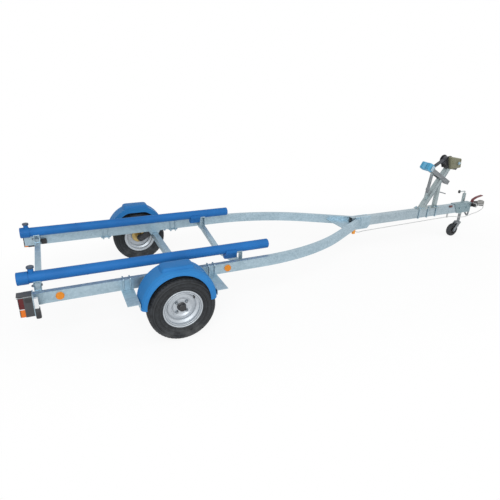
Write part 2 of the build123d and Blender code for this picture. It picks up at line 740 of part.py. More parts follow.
def bunk_cap_space(margin):
    """The space of the cup on the left bunk's rear end with a margin round it."""
    mouth = BUNK_REAR + BUNK_CAP_LENGTH + margin
    return rod((BUNK_REAR, BUNK_Y, BUNK_Z), (mouth, BUNK_Y, BUNK_Z), BUNK_CAP_DIAMETER / 2 + margin)


def bunk_caps():
    """The rubber cup over the left bunk's rear end and the flush plug in its front end."""
    seat, plug_seat = BUNK_REAR + BUNK_CAP_END, BUNK_FRONT - BUNK_CAP_END
    cup = bunk_cap_space(0)
    cup = fillet(cup.edges().group_by(Axis.X)[0], BUNK_CAP_ROUNDING)
    cup -= rod((seat, BUNK_Y, BUNK_Z), (0, BUNK_Y, BUNK_Z), BUNK_RADIUS + FACE_GAP)
    plug = rod((plug_seat, BUNK_Y, BUNK_Z), (BUNK_FRONT, BUNK_Y, BUNK_Z), BUNK_RADIUS)
    return together(cup, fillet(plug.edges().group_by(Axis.X)[-1], BUNK_CAP_ROUNDING))


def stub_post(setback):
    """A short guide post on top of the left bunk or of its rear cup."""
    x = BUNK_REAR + setback
    top = BUNK_Z + BUNK_RADIUS + STUB_POST_HEIGHT
    post = rod((x, BUNK_Y, BUNK_Z), (x, BUNK_Y, top), STUB_POST_DIAMETER / 2)
    return post - bunk_cylinder(FACE_GAP) - bunk_cap_space(FACE_GAP)


def stub_cap(setback):
    """The cap on a guide post of the left bunk."""
    x = BUNK_REAR + setback
    bottom = BUNK_Z + BUNK_RADIUS + STUB_POST_HEIGHT
    cap = rod((x, BUNK_Y, bottom), (x, BUNK_Y, bottom + STUB_CAP_HEIGHT), STUB_CAP_DIAMETER / 2)
    return fillet(cap.edges().group_by(Axis.Z)[-1], STUB_CAP_HEIGHT / 3)


def bunk_saddle(x, half_length, bottom, base):
    """A folded saddle under the left bunk: cheeks, a curved seat and, where it has one, a base."""
    top = BUNK_Z - BUNK_RADIUS / 2
    wide = BUNK_PLATE_LENGTH / 2 + BUNK_PLATE * 2
    outside = block(x - half_length, x + half_length, BUNK_Y - wide, BUNK_Y + wide, bottom, top)
    inside = half_length - BUNK_PLATE
    pocket = block(x - inside, x + inside, BUNK_Y - FAR, BUNK_Y + FAR, bottom + base, top)
    return outside - bunk_cylinder(FACE_GAP) - (pocket - bunk_cylinder(FACE_GAP + BUNK_PLATE))


def rear_bunk_saddle():
    """The left saddle on top of the rear cross-member."""
    return bunk_saddle(REAR_CROSS_X, BUNK_PLATE_LENGTH / 2, RAIL_MIDDLE + CROSS_TUBE / 2, BUNK_PLATE)


def front_bunk_saddle():
    """The left saddle whose cheeks stand on both sides of the front cross-member."""
    bottom = front_cross_z(BUNK_Y) - CROSS_TUBE / 2
    return bunk_saddle(FRONT_CROSS_X, CROSS_TUBE / 2 + BUNK_PLATE, bottom, 0)


def bunk_cradle():
    """The blue wedge-shaped cradle under the left bunk, behind the front cross-member."""
    front = FRONT_CROSS_X - CROSS_TUBE / 2 - BUNK_PLATE
    side = BUNK_RADIUS + CRADLE_WALL
    keel = BUNK_Z - side - CRADLE_DROP
    outline = [
        (BUNK_Y - side, BUNK_Z),
        (BUNK_Y + side, BUNK_Z),
        (BUNK_Y + side, BUNK_Z - side / 2),
        (BUNK_Y + CRADLE_WALL * 2, keel),
        (BUNK_Y - CRADLE_WALL * 2, keel),
        (BUNK_Y - side, BUNK_Z - side / 2),
    ]
    return end_profile(outline, front - CRADLE_LENGTH, front) - bunk_cylinder(FACE_GAP)


def lamp_span():
    """Inner and outer side, bottom and top of the left tail lamp."""
    inner = RAIL_OUTER + LAMP_INNER_GAP
    return inner, inner + LAMP_WIDTH, RAIL_MIDDLE - LAMP_HEIGHT / 2, RAIL_MIDDLE + LAMP_HEIGHT / 2


def lamp_bracket():
    """The left angle that carries the tail lamp on the side of the rail."""
    inner, outer, bottom, top = lamp_span()
    plate = block(LAMP_PLATE_X, LAMP_PLATE_X + LAMP_PLATE, RAIL_OUTER, outer, bottom, top)
    end, side = LAMP_PLATE_X + LAMP_FOOT, RAIL_OUTER + LAMP_PLATE
    return plate + block(LAMP_PLATE_X, end, RAIL_OUTER, side, RAIL_BOTTOM, RAIL_TOP)


def lamp_housing():
    """The left lamp's housing with the visor over its lenses."""
    inner, outer, bottom, top = lamp_span()
    rear = LAMP_PLATE_X - LAMP_HOUSING_DEPTH
    housing = block(rear, LAMP_PLATE_X, inner, outer, bottom, top)
    housing = fillet(housing.edges().filter_by(Axis.X), LAMP_VISOR)
    visor = inner + LAMP_VISOR, outer - LAMP_VISOR
    return housing + block(LAMP_REAR, LAMP_PLATE_X, *visor, top - LAMP_VISOR / 2, top)


def lamp_lens(lower):
    """One of the left lamp's two lenses, the amber one below and the red one above."""
    inner, outer, bottom, top = lamp_span()
    front = LAMP_PLATE_X - LAMP_HOUSING_DEPTH
    middle = bottom + LAMP_AMBER_HEIGHT
    z0, z1 = (bottom + LAMP_DIVIDER, middle) if lower else (middle + LAMP_DIVIDER, top - LAMP_VISOR)
    lens = block(front - LAMP_LENS_DEPTH, front, inner + LAMP_DIVIDER, outer - LAMP_DIVIDER, z0, z1)
    return fillet(lens.faces().sort_by(Axis.X)[0].edges(), LAMP_VISOR)


def marker_span():
    """Start, end, sides and bottom of the left rear marker lamp, in front of the lamp bracket."""
    inner, outer, bottom, top = lamp_span()
    start = LAMP_PLATE_X + LAMP_PLATE
    return start, start + MARKER_DEPTH, outer - MARKER_WIDTH, outer, bottom


def marker_body():
    """The rubber foot of the left rear marker lamp."""
    start, end, inner, outer, bottom = marker_span()
    body = block(start, end, inner, outer, bottom, bottom + MARKER_BODY_HEIGHT)
    return fillet(body.edges().filter_by(Axis.Z), LAMP_PLATE)


def marker_lens():
    """The clear lens of the left rear marker lamp."""
    start, end, inner, outer, bottom = marker_span()
    foot = bottom + MARKER_BODY_HEIGHT
    lens = block(start, end - LAMP_PLATE, inner, outer - LAMP_PLATE, foot, foot + MARKER_LENS_HEIGHT)
    return fillet(lens.edges().filter_by(Axis.Z), LAMP_PLATE)


def side_reflectors():
    """The left round reflectors on the side of the rail."""
    discs = []
    for x in REFLECTOR_X:
        face = RAIL_OUTER + REFLECTOR_THICKNESS
        disc = rod((x, RAIL_OUTER, RAIL_MIDDLE), (x, face, RAIL_MIDDLE), REFLECTOR_DIAMETER / 2)
        discs += fillet(disc.edges().group_by(Axis.Y)[-1], REFLECTOR_THICKNESS / 3).solids()
    return Compound(children=discs)


def front_marker():
    """The left front marker lamp under the end of the rail."""
    x, y = FRONT_MARKER_X, rail_middle_y(FRONT_MARKER_X)
    wide, deep = FRONT_MARKER_WIDTH / 2, FRONT_MARKER_DEPTH / 2
    lamp = block(x - wide, x + wide, y - deep, y + deep, RAIL_BOTTOM - FRONT_MARKER_HEIGHT, RAIL_BOTTOM)
    return fillet(lamp.edges().filter_by(Axis.Z), LAMP_PLATE)


def post_base():
    """The winch post's base plate on top of the drawbar, drilled for its U-bolts."""
    half = POST_WIDTH / 2
    plate = block(POST_REAR, POST_FRONT, -half, half, DRAWBAR_TOP, POST_TOP)
    leg = DRAWBAR_SIDE + FACE_GAP + U_BOLT_DIAMETER / 2
    for x in POST_CLAMPS_X:
        for y in (-leg, leg):
            plate -= rod((x, y, DRAWBAR_TOP), (x, y, POST_TOP), U_BOLT_DIAMETER / 2 + FACE_GAP)
    return plate


def post_u_bolts():
    """The U-bolts that clamp the base plate round the drawbar."""
    leg = DRAWBAR_SIDE + FACE_GAP + U_BOLT_DIAMETER / 2
    low = DRAWBAR_BOTTOM - FACE_GAP - U_BOLT_DIAMETER / 2
    high = POST_TOP + U_BOLT_TAIL
    bolts = []
    for x in POST_CLAMPS_X:
        bolts += u_bolt([(x, -leg, high), (x, -leg, low), (x, leg, low), (x, leg, high)]).solids()
    return Compound(children=bolts)


def mast_point(height):
    """Point on the mast's axis at a height above its foot."""
    return MAST_FOOT_X + height * tan(radians(MAST_LEAN)), POST_TOP + height


def winch_axes():
    """Unit vectors along and across the tilted winch."""
    tilt = radians(WINCH_TILT)
    return (cos(tilt), -sin(tilt)), (sin(tilt), cos(tilt))


def winch_point(along, up):
    """A place on the winch, from the middle of its base plate's underside on the mast."""
    foot = mast_point(MAST_HEIGHT)
    a, b = winch_axes()
    return foot[0] + along * a[0] + up * b[0], foot[1] + along * a[1] + up * b[1]


def winch_block(along0, along1, y0, y1, up0, up1):
    """A box in the winch's own tilted frame."""
    corners = [(along0, up0), (along1, up0), (along1, up1), (along0, up1)]
    return side_profile([winch_point(*corner) for corner in corners], y0, y1)


def mast_envelope():
    """The mast's outside, cut level on the base plate and along the winch's base."""
    solid = beam(mast_point(-MAST_TUBE), mast_point(MAST_HEIGHT + 2 * MAST_TUBE), MAST_TUBE, MAST_TUBE)
    solid -= block(0, FAR, -FAR, FAR, 0, POST_TOP)
    return solid - winch_block(-FAR, FAR, -FAR, FAR, 0, FAR)


def mast():
    """The leaning square tube that carries the winch."""
    inner = MAST_TUBE - 2 * TUBE_WALL
    ends = mast_point(-MAST_TUBE), mast_point(MAST_HEIGHT + 2 * MAST_TUBE)
    return mast_envelope() - beam(*ends, inner, inner)


def upright_tube(x, side, z0, z1):
    """An upright square tube in the middle plane."""
    half, inner = side / 2, side / 2 - TUBE_WALL
    tube = block(x - half, x + half, -half, half, z0, z1)
    return tube - block(x - inner, x + inner, -inner, inner, z0, z1)


def mast_brace():
    """The upright tube between the base plate and the underside of the mast."""
    reach = (BRACE_X - MAST_FOOT_X) / tan(radians(MAST_LEAN))
    return upright_tube(BRACE_X, BRACE_TUBE, POST_TOP, POST_TOP + reach) - mast_envelope()


def bow_arm_point(along, up):
    """A place on the bow arm, from the middle of its rear end."""
    slope = radians(BOW_ARM_SLOPE)
    x = BOW_ARM_REAR[0] + along * cos(slope) + up * sin(slope)
    return x, BOW_ARM_REAR[1] - along * sin(slope) + up * cos(slope)


def bow_arm_envelope():
    """The bow arm's outside."""
    width = MAST_TUBE + 2 * FACE_GAP + 2 * BOW_ARM_WALL
    return beam(bow_arm_point(0, 0), bow_arm_point(BOW_ARM_LENGTH, 0), BOW_ARM_DEPTH, width)


def bow_arm():
    """The tube that carries the bow stop, open above and below where the mast goes through it."""
    inner = MAST_TUBE + 2 * FACE_GAP
    ends = bow_arm_point(0, 0), bow_arm_point(BOW_ARM_LENGTH, 0)
    arm = bow_arm_envelope() - beam(*ends, BOW_ARM_DEPTH - 2 * BOW_ARM_WALL, inner)
    window = bow_arm_point(BOW_ARM_REAR_END, 0), bow_arm_point(BOW_ARM_LENGTH - BOW_ARM_FRONT_END, 0)
    return arm - beam(*window, 2 * BOW_ARM_DEPTH, inner)


def mast_strut():
    """The slightly leaning tube between the mast and the underside of the bow arm."""
    ends, inner = (STRUT_FOOT, STRUT_HEAD), STRUT_TUBE - 2 * TUBE_WALL
    tube = beam(*ends, STRUT_TUBE, STRUT_TUBE) - beam(*ends, inner, inner)
    return tube - mast_envelope() - bow_arm_envelope()


def bow_block(along0, along1, y0, y1, up0, up1):
    """A box in the bow arm's own sloping frame."""
    corners = [(along0, up0), (along1, up0), (along1, up1), (along0, up1)]
    return side_profile([bow_arm_point(*corner) for corner in corners], y0, y1)


def bow_fork():
    """The folded bracket at the rear end of the bow arm that holds the bow stop."""
    half = BOW_STOP_WIDTH / 2 + FACE_GAP
    wide, high = half + BOW_FORK_PLATE, BOW_FORK_HEIGHT / 2
    fork = bow_block(-BOW_FORK_PLATE, 0, -wide, wide, -high, high)
    for y0, y1 in ((-wide, -half), (half, wide)):
        fork += bow_block(-BOW_FORK_REACH, 0, y0, y1, -high, high)
    return fork


def bow_stop():
    """The rubber block that takes the boat's bow, with an upright notch in its rear face."""
    front = -BOW_FORK_PLATE - FACE_GAP
    rear = front - BOW_STOP_LENGTH
    half, high = BOW_STOP_WIDTH / 2, BOW_STOP_HEIGHT / 2
    stop = bow_block(rear, front, -half, half, -high, high)
    stop = fillet(stop.edges().filter_by(Axis.Y), BOW_STOP_ROUNDING)
    x, z = bow_arm_point(rear, -BOW_STOP_HEIGHT)
    notch = Rot(0, 0, 45) * Rectangle(sqrt(2) * BOW_NOTCH, sqrt(2) * BOW_NOTCH)
    cutter = extrude(notch, amount=2 * BOW_STOP_HEIGHT)
    return stop - Pos(x, 0, z) * Rot(0, BOW_ARM_SLOPE, 0) * cutter


def clamp_lever():
    """The sloping tommy-bar screw on the front of the brace."""
    front = BRACE_X + BRACE_TUBE / 2
    z = POST_TOP + LEVER_HEIGHT
    tip, low = front + LEVER_LENGTH, z - LEVER_DROP
    screw = rod((BRACE_X, 0, z), (tip, 0, low), LEVER_DIAMETER / 2) - block(0, front, -FAR, FAR, 0, FAR)
    return screw + rod((tip, -LEVER_BAR / 2, low), (tip, LEVER_BAR / 2, low), LEVER_BAR_RADIUS)


def winch_frame():
    """The winch's base plate, two side plates and the drum's shaft."""
    inner = WINCH_INNER_WIDTH / 2
    outer = inner + WINCH_PLATE
    frame = winch_block(-WINCH_BASE_REAR, WINCH_FRONT, -outer, outer, 0, WINCH_PLATE)
    for y0, y1 in ((-outer, -inner), (inner, outer)):
        frame += side_profile([winch_point(*corner) for corner in WINCH_SIDE], y0, y1)
    x, z = winch_point(-DRUM_OFFSET, DRUM_LIFT)
    return frame + rod((x, -outer, z), (x, outer, z), WINCH_SHAFT_RADIUS)


def winch_cover():
    """The olive gear cover on the right-hand side of the winch."""
    inner = -WINCH_INNER_WIDTH / 2 - WINCH_PLATE
    outer = inner - WINCH_COVER_DEPTH
    cover = side_profile([winch_point(*corner) for corner in WINCH_COVER], outer, inner)
    cover = fillet(cover.edges().filter_by(Axis.Y), WINCH_COVER_ROUNDING)
    return fillet(cover.faces().sort_by(Axis.Y)[0].edges(), WINCH_COVER_ROUNDING)


def winch_drum():
    """The drum with its two flanges and the wound strap between them."""
    x, z = winch_point(-DRUM_OFFSET, DRUM_LIFT)
    edge = WINCH_INNER_WIDTH / 2 - DRUM_SIDE_GAP
    points = [
        (edge, WINCH_SHAFT_RADIUS + RUNNING_GAP),
        (edge, DRUM_FLANGE_RADIUS),
        (edge - DRUM_FLANGE, DRUM_FLANGE_RADIUS),
        (edge - DRUM_FLANGE, DRUM_RADIUS),
    ]
    return turned(mirrored_profile(points), 0, x, z)


def strap_ends():
    """Ends of the strap's straight run: where it leaves the drum, and its hook on the bow arm."""
    x, z = winch_point(-DRUM_OFFSET, DRUM_LIFT)
    hook = bow_arm_point(STRAP_HOOK, BOW_ARM_DEPTH / 2 + STRAP_LIFT)
    reach = DRUM_RADIUS + FACE_GAP + STRAP_THICKNESS / 2
    span = hypot(x - hook[0], z - hook[1])
    angle = atan2(z - hook[1], x - hook[0]) + atan2(reach, sqrt(span**2 - reach**2))
    length = sqrt(span**2 - reach**2)
    return (hook[0] + length * cos(angle), hook[1] + length * sin(angle)), hook


def winch_strap():
    """The winch strap, straight from the drum to its hook."""
    return beam(*strap_ends(), STRAP_THICKNESS, STRAP_WIDTH)


def strap_hook():
    """The eye plate on the bow arm that the strap is hooked to."""
    half = STRAP_WIDTH / 2
    top = BOW_ARM_DEPTH / 2 + STRAP_LIFT - STRAP_THICKNESS / 2
    return bow_block(STRAP_HOOK - half / 2, STRAP_HOOK + half / 2, -half, half, BOW_ARM_DEPTH / 2, top)


def coupling_sleeve():
    """The coupling's folded body round the end of the drawbar."""
    inner, top = DRAWBAR_SIDE + FACE_GAP, DRAWBAR_TOP + FACE_GAP
    body = block(SLEEVE_REAR, SLEEVE_FRONT, -SLEEVE_SIDE, SLEEVE_SIDE, SLEEVE_BOTTOM, top + SLEEVE_WALL)
    body -= block(SLEEVE_REAR, DRAWBAR_FRONT + FACE_GAP, -inner, inner, DRAWBAR_BOTTOM - FACE_GAP, top)
    taper = [(SLEEVE_REAR, DRAWBAR_TOP), (SLEEVE_REAR + SLEEVE_TAPER, SLEEVE_BOTTOM)]
    taper += [(SLEEVE_REAR, SLEEVE_BOTTOM)]
    return body - side_profile(taper, -FAR, FAR)


def coupling_neck_shape(margin):
    """The round neck of the coupling head with a margin round it."""
    front = COUPLING_FRONT - HEAD_RADIUS
    return rod((SLEEVE_FRONT, 0, COUPLING_Z), (front, 0, COUPLING_Z), NECK_RADIUS + margin)


def coupling_head():
    """The coupling's neck and domed head with its ball socket open below."""
    x = COUPLING_FRONT - HEAD_RADIUS
    bottom, top = COUPLING_Z - HEAD_HEIGHT / 2, COUPLING_Z + HEAD_HEIGHT / 2
    dome = rod((x, 0, bottom), (x, 0, top), HEAD_RADIUS)
    dome = fillet(dome.edges().group_by(Axis.Z)[-1], HEAD_RADIUS / 2)
    socket = BALL_RADIUS + BALL_CLEARANCE
    head = coupling_neck_shape(0) + dome
    head -= rod((x, 0, bottom), (x, 0, bottom + SOCKET_DEPTH), socket)
    return head - Pos(x, 0, bottom + SOCKET_DEPTH) * Sphere(socket)


def coupling_handle():
    """The release handle over the neck: a foot, a rising arm and a level grip."""
    width = HANDLE_WIDTH
    rear = SLEEVE_FRONT + HANDLE_SETBACK
    points = [(rear + along, COUPLING_Z + up) for along, up in HANDLE_BENDS]
    handle = beam(points[0], points[1], HANDLE_THICKNESS, width)
    for (x, z), after in zip(points[1:], points[2:]):
        handle += beam((x, z), after, HANDLE_THICKNESS, width)
        handle += rod((x, -width / 2, z), (x, width / 2, z), HANDLE_THICKNESS / 2)
    return (handle - coupling_neck_shape(0)).solids().sort_by(Axis.Z)[-1]


def lifting_handle():
    """The bent round bar from the coupling's sleeve down and up to its neck, to lift the nose by."""
    stations = [SLEEVE_FRONT + along for along in (LIFT_HANDLE_REAR, LIFT_HANDLE_LOW, LIFT_HANDLE_FRONT)]
    levels = SLEEVE_BOTTOM + LIFT_HANDLE_DIAMETER / 2, SLEEVE_BOTTOM - LIFT_HANDLE_DROP, COUPLING_Z
    points = [(x, 0, z) for x, z in zip(stations, levels)]
    bar = bent_rod(points, LIFT_HANDLE_BEND, LIFT_HANDLE_DIAMETER)
    return bar - block(0, SLEEVE_FRONT, -FAR, FAR, SLEEVE_BOTTOM, FAR) - coupling_neck_shape(0)


def jockey_levels():
    """Bottom of the jockey's outer tube and top of its inner tube."""
    bottom = CROWN_TOP + JOCKEY_TRAVEL + STOP_GAP
    return bottom, bottom + JOCKEY_ENGAGEMENT


def upright(z0, z1, radius):
    """A round bar on the jockey's axis."""
    return rod((JOCKEY_X, JOCKEY_Y, z0), (JOCKEY_X, JOCKEY_Y, z1), radius)


def jockey_clamp():
    """The split clamp on the left of the coupling that grips the jockey's outer tube."""
    ring = JOCKEY_OUTER_RADIUS + FACE_GAP
    low = RAIL_MIDDLE - CLAMP_HEIGHT / 2
    body = upright(low, low + CLAMP_HEIGHT, ring + CLAMP_WALL)
    body += block(JOCKEY_X - ring, JOCKEY_X + ring, SLEEVE_SIDE, JOCKEY_Y, low, low + CLAMP_HEIGHT)
    return body - upright(low, low + CLAMP_HEIGHT, ring)


def jockey_outer():
    """The jockey's outer tube with its closed top."""
    bottom = jockey_levels()[0]
    tube = upright(bottom, JOCKEY_TOP, JOCKEY_OUTER_RADIUS)
    return tube - upright(bottom, JOCKEY_TOP - JOCKEY_OUTER_WALL, JOCKEY_OUTER_RADIUS - JOCKEY_OUTER_WALL)


def jockey_inner_radius():
    """Radius of the inner tube, which runs in the outer one."""
    return JOCKEY_OUTER_RADIUS - JOCKEY_OUTER_WALL - RUNNING_GAP


def jockey_inner():
    """The sliding inner tube of the jockey."""
    radius = jockey_inner_radius()
    bottom, top = CROWN_TOP + RUNNING_GAP, jockey_levels()[1]
    return upright(bottom, top, radius) - upright(bottom, top, radius - JOCKEY_OUTER_WALL)


def jockey_crank():
    """The bent crank on top of the jockey."""
    top = JOCKEY_TOP + CRANK_RISE
    points = [(JOCKEY_X, JOCKEY_Y, JOCKEY_TOP), (JOCKEY_X, JOCKEY_Y, top)]
    points += [(JOCKEY_X - CRANK_ARM, JOCKEY_Y, top)]
    return bent_rod(points, CRANK_DIAMETER, CRANK_DIAMETER)


def crank_knob():
    """The knob on the end of the crank."""
    x, z = JOCKEY_X - CRANK_ARM, JOCKEY_TOP + CRANK_RISE
    ball = Pos(x - KNOB_RADIUS, JOCKEY_Y, z) * Sphere(KNOB_RADIUS)
    return ball - block(x, FAR, -FAR, FAR, 0, FAR)


def jockey_axle():
    """Station and height of the jockey wheel's axle."""
    return JOCKEY_X - JOCKEY_TRAIL, JOCKEY_RADIUS


def jockey_fork():
    """The swivelling fork: kingpin, crown, two legs and the wheel's pin."""
    x, z = jockey_axle()
    inner = JOCKEY_WIDTH / 2 + FORK_CLEARANCE
    outer = inner + FORK_PLATE
    crown_bottom = CROWN_TOP - JOCKEY_CROWN
    front, rear = JOCKEY_X + jockey_inner_radius(), JOCKEY_X - FORK_CROWN_REAR
    fork = block(rear, front, JOCKEY_Y - outer, JOCKEY_Y + outer, crown_bottom, CROWN_TOP)
    pin = jockey_inner_radius() - JOCKEY_OUTER_WALL - RUNNING_GAP
    fork += upright(CROWN_TOP, CROWN_TOP + JOCKEY_ENGAGEMENT / 2, pin)
    boss = Pos(x, z) * Circle(FORK_EYE)
    crown = Pos((front + rear) / 2, CROWN_TOP - JOCKEY_CROWN / 2) * Rectangle(front - rear, JOCKEY_CROWN)
    leg = Plane.XZ * make_hull(boss.edges() + crown.edges())
    for y in (JOCKEY_Y - outer, JOCKEY_Y + inner):
        fork += Pos(0, y, 0) * extrude(leg, amount=FORK_PLATE, dir=(0, 1, 0))
    return fork + rod((x, JOCKEY_Y - outer, z), (x, JOCKEY_Y + outer, z), JOCKEY_PIN)


def jockey_tyre():
    """The solid rubber tyre of the jockey wheel."""
    x, z = jockey_axle()
    half = JOCKEY_WIDTH / 2
    points = [
        (half, JOCKEY_HUB_RADIUS + FACE_GAP),
        (half, JOCKEY_RADIUS - JOCKEY_WALL_DROP),
        (JOCKEY_SHOULDER_WIDTH / 2, JOCKEY_RADIUS - JOCKEY_SHOULDER_DROP),
        (JOCKEY_TREAD_WIDTH / 2, JOCKEY_RADIUS),
    ]
    return turned(mirrored_profile(points), JOCKEY_Y, x, z)


def jockey_hub():
    """The hub of the jockey wheel, dished on both sides."""
    x, z = jockey_axle()
    half, web = JOCKEY_WIDTH / 2, JOCKEY_WEB / 2
    points = [
        (half, JOCKEY_PIN + RUNNING_GAP),
        (half, JOCKEY_BOSS_RADIUS),
        (web, JOCKEY_BOSS_RADIUS + JOCKEY_BOSS_FLARE),
        (web, JOCKEY_HUB_RADIUS - JOCKEY_HUB_RIM - JOCKEY_BOSS_FLARE),
        (half, JOCKEY_HUB_RADIUS - JOCKEY_HUB_RIM),
        (half, JOCKEY_HUB_RADIUS),
    ]
    return turned(mirrored_profile(points), JOCKEY_Y, x, z)


def lead_radii():
    """Bend radii of the lead: at each corner as large as its two runs allow."""
    route = [Vector(*point) for point in LEAD_ROUTE]
    radii = []
    for before, corner, after in zip(route, route[1:], route[2:]):
        arriving, leaving = corner - before, after - corner
        turn = radians(arriving.get_angle(leaving))
        radii.append(LEAD_ARC_SHARE * min(arriving.length, leaving.length) / tan(turn / 2))
    return radii


def lead():
    """The wiring lead from its gland to its plug."""
    return bent_rod(LEAD_ROUTE, lead_radii(), LEAD_DIAMETER)


def lead_gland():
    """The tapered gland under the drawbar that the lead comes out of."""
    x, y, z = LEAD_ROUTE[0]
    radius = LEAD_DIAMETER / 2 + LEAD_CLIP_WALL
    return Pos(x, y, (z + DRAWBAR_BOTTOM) / 2) * Cone(radius, LEAD_GLAND_RADIUS, DRAWBAR_BOTTOM - z)


def lead_clip():
    """The clip under the drawbar that holds the lead."""
    start, end = LEAD_ROUTE[5], LEAD_ROUTE[6]
    x, y, z = (start[0] + end[0]) / 2, start[1], start[2]
    wide, reach = LEAD_DIAMETER / 2 + FACE_GAP + LEAD_CLIP_WALL, LEAD_CLIP_LENGTH / 2
    clip = block(x - reach, x + reach, y - wide, y + wide, z - wide, DRAWBAR_BOTTOM)
    return clip - rod((x - reach, y, z), (x + reach, y, z), LEAD_DIAMETER / 2 + FACE_GAP)


def lead_plug():
    """The parked plug: tapered tail, round body and a collar."""
    x, y, z = LEAD_ROUTE[-1]
    body = PLUG_TAIL + PLUG_LENGTH
    points = [
        (0, 0),
        (0, PLUG_TAIL_RADIUS),
        (PLUG_TAIL, PLUG_RADIUS - PLUG_SHOULDER),
        (PLUG_TAIL + PLUG_SHOULDER, PLUG_RADIUS),
        (body - PLUG_COLLAR, PLUG_RADIUS),
        (body - PLUG_COLLAR, PLUG_RADIUS - PLUG_COLLAR_STEP),
        (body, PLUG_RADIUS - PLUG_COLLAR_STEP),
        (body, 0),
    ]
    return Pos(x, y, z) * Rot(0, 0, 180) * revolve(Polygon(*points, align=None), axis=Axis.X)


def plug_holder():
    """The parking bracket on the side of the neck that holds the plug."""
    x, y, z = LEAD_ROUTE[-1]
    end = x - PLUG_TAIL - PLUG_LENGTH / 3
    start = end - LEAD_CLIP_LENGTH
    wide = PLUG_RADIUS + PLUG_HOLDER_WALL
    plate = block(start, end, y - wide, 0, z - wide, z + wide) - coupling_neck_shape(FACE_GAP)
    return plate - rod((start, y, z), (end, y, z), PLUG_RADIUS + FACE_GAP)


def together(*shapes):
    """Several separate solids as one piece."""
    return Compound(children=[solid for shape in shapes for solid in shape.solids()])


nodes = {
    "rail_left": rail(),
    "rail_right": other_side(rail()),
    "drawbar": drawbar(),
    "junction_plates": together(both_sides(junction_plate()), junction_gusset()),
    "cross_member_rear": rear_cross_member(),
    "cross_member_front": front_cross_member(),
    "axle_beam": axle_beam(),
    "axle_arms": both_sides(axle_arm()),
    "axle_saddles": both_sides(axle_saddle()),
    "mudguard_left": mudguard(),
    "mudguard_right": other_side(mudguard()),
    "mudguard_brackets": both_sides(mudguard_brackets()),
    "rail_u_bolts": both_sides(rail_u_bolts()),
    "bunk_left": bunk(),
    "bunk_right": other_side(bunk()),
    "bunk_end_caps": both_sides(bunk_caps()),
    "bunk_guide_posts": together(stub_post(LEFT_POST_SETBACK), other_side(stub_post(RIGHT_POST_SETBACK))),
    "bunk_guide_caps": together(stub_cap(LEFT_POST_SETBACK), other_side(stub_cap(RIGHT_POST_SETBACK))),
    "bunk_saddles": together(both_sides(rear_bunk_saddle()), both_sides(front_bunk_saddle())),
    "bunk_cradles": both_sides(bunk_cradle()),
    "tail_lamp_brackets": both_sides(lamp_bracket()),
    "tail_lamp_housings": both_sides(together(lamp_housing(), marker_body())),
    "tail_lamp_lenses_red": both_sides(lamp_lens(False)),
    "tail_lamp_lenses_amber": both_sides(lamp_lens(True)),
    "rear_marker_lenses": both_sides(marker_lens()),
    "side_reflectors": both_sides(together(side_reflectors(), front_marker())),
    "winch_post_base": post_base(),
    "winch_post_u_bolts": post_u_bolts(),
    "winch_mast": mast(),
    "winch_mast_braces": together(mast_brace(), mast_strut()),
    "post_clamp_lever": clamp_lever(),
    "bow_arm": bow_arm() + bow_fork() + strap_hook(),
    "bow_stop": bow_stop(),
    "winch_frame": winch_frame(),
    "winch_cover": winch_cover(),
    "winch_drum": winch_drum(),
    "winch_strap": winch_strap(),
    "coupling_sleeve": coupling_sleeve(),
    "coupling_head": coupling_head(),
    "coupling_handle": coupling_handle(),
    "lifting_handle": lifting_handle(),
    "jockey_clamp": jockey_clamp(),
    "jockey_outer_tube": jockey_outer(),
    "jockey_inner_tube": jockey_inner(),
    "jockey_crank": jockey_crank(),
    "jockey_crank_knob": crank_knob(),
    "jockey_fork": jockey_fork(),
    "jockey_tyre": jockey_tyre(),
    "jockey_hub": jockey_hub(),
    "wiring_lead": lead(),
    "wiring_lead_plug": lead_plug(),
    "wiring_lead_fittings": together(lead_gland(), lead_clip(), plug_holder()),
    "tyre_left": tyre(),
    "tyre_right": other_side(tyre()),
    "rim_left": rim(),
    "rim_right": other_side(rim()),
    "hub_left": hub(),
    "hub_right": other_side(hub()),
}

os.makedirs("parts", exist_ok=True)
for name, shape in nodes.items():
    export_step(Pos(ORIGIN_SHIFT, 0, 0) * shape, f"parts/{name}.step")
print("lead radii", [round(radius, 1) for radius in lead_radii()])
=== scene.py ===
import json
from math import cos, pi, radians, sin, sqrt

import bmesh
import bpy
import numpy as np
from mathutils import Matrix


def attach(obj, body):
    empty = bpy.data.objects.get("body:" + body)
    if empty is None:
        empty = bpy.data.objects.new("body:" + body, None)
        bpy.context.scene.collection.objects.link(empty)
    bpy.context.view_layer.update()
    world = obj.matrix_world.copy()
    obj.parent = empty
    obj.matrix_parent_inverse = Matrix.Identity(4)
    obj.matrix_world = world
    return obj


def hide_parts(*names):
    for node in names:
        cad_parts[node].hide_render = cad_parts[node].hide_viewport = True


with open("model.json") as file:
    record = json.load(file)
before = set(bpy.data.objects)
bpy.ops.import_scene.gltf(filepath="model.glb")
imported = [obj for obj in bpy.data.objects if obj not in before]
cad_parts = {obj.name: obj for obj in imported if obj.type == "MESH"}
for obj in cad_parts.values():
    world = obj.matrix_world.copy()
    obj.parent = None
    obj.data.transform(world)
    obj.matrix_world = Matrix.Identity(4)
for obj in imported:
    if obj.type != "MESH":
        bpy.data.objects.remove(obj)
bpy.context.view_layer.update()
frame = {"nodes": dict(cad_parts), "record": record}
nodes = frame["nodes"]

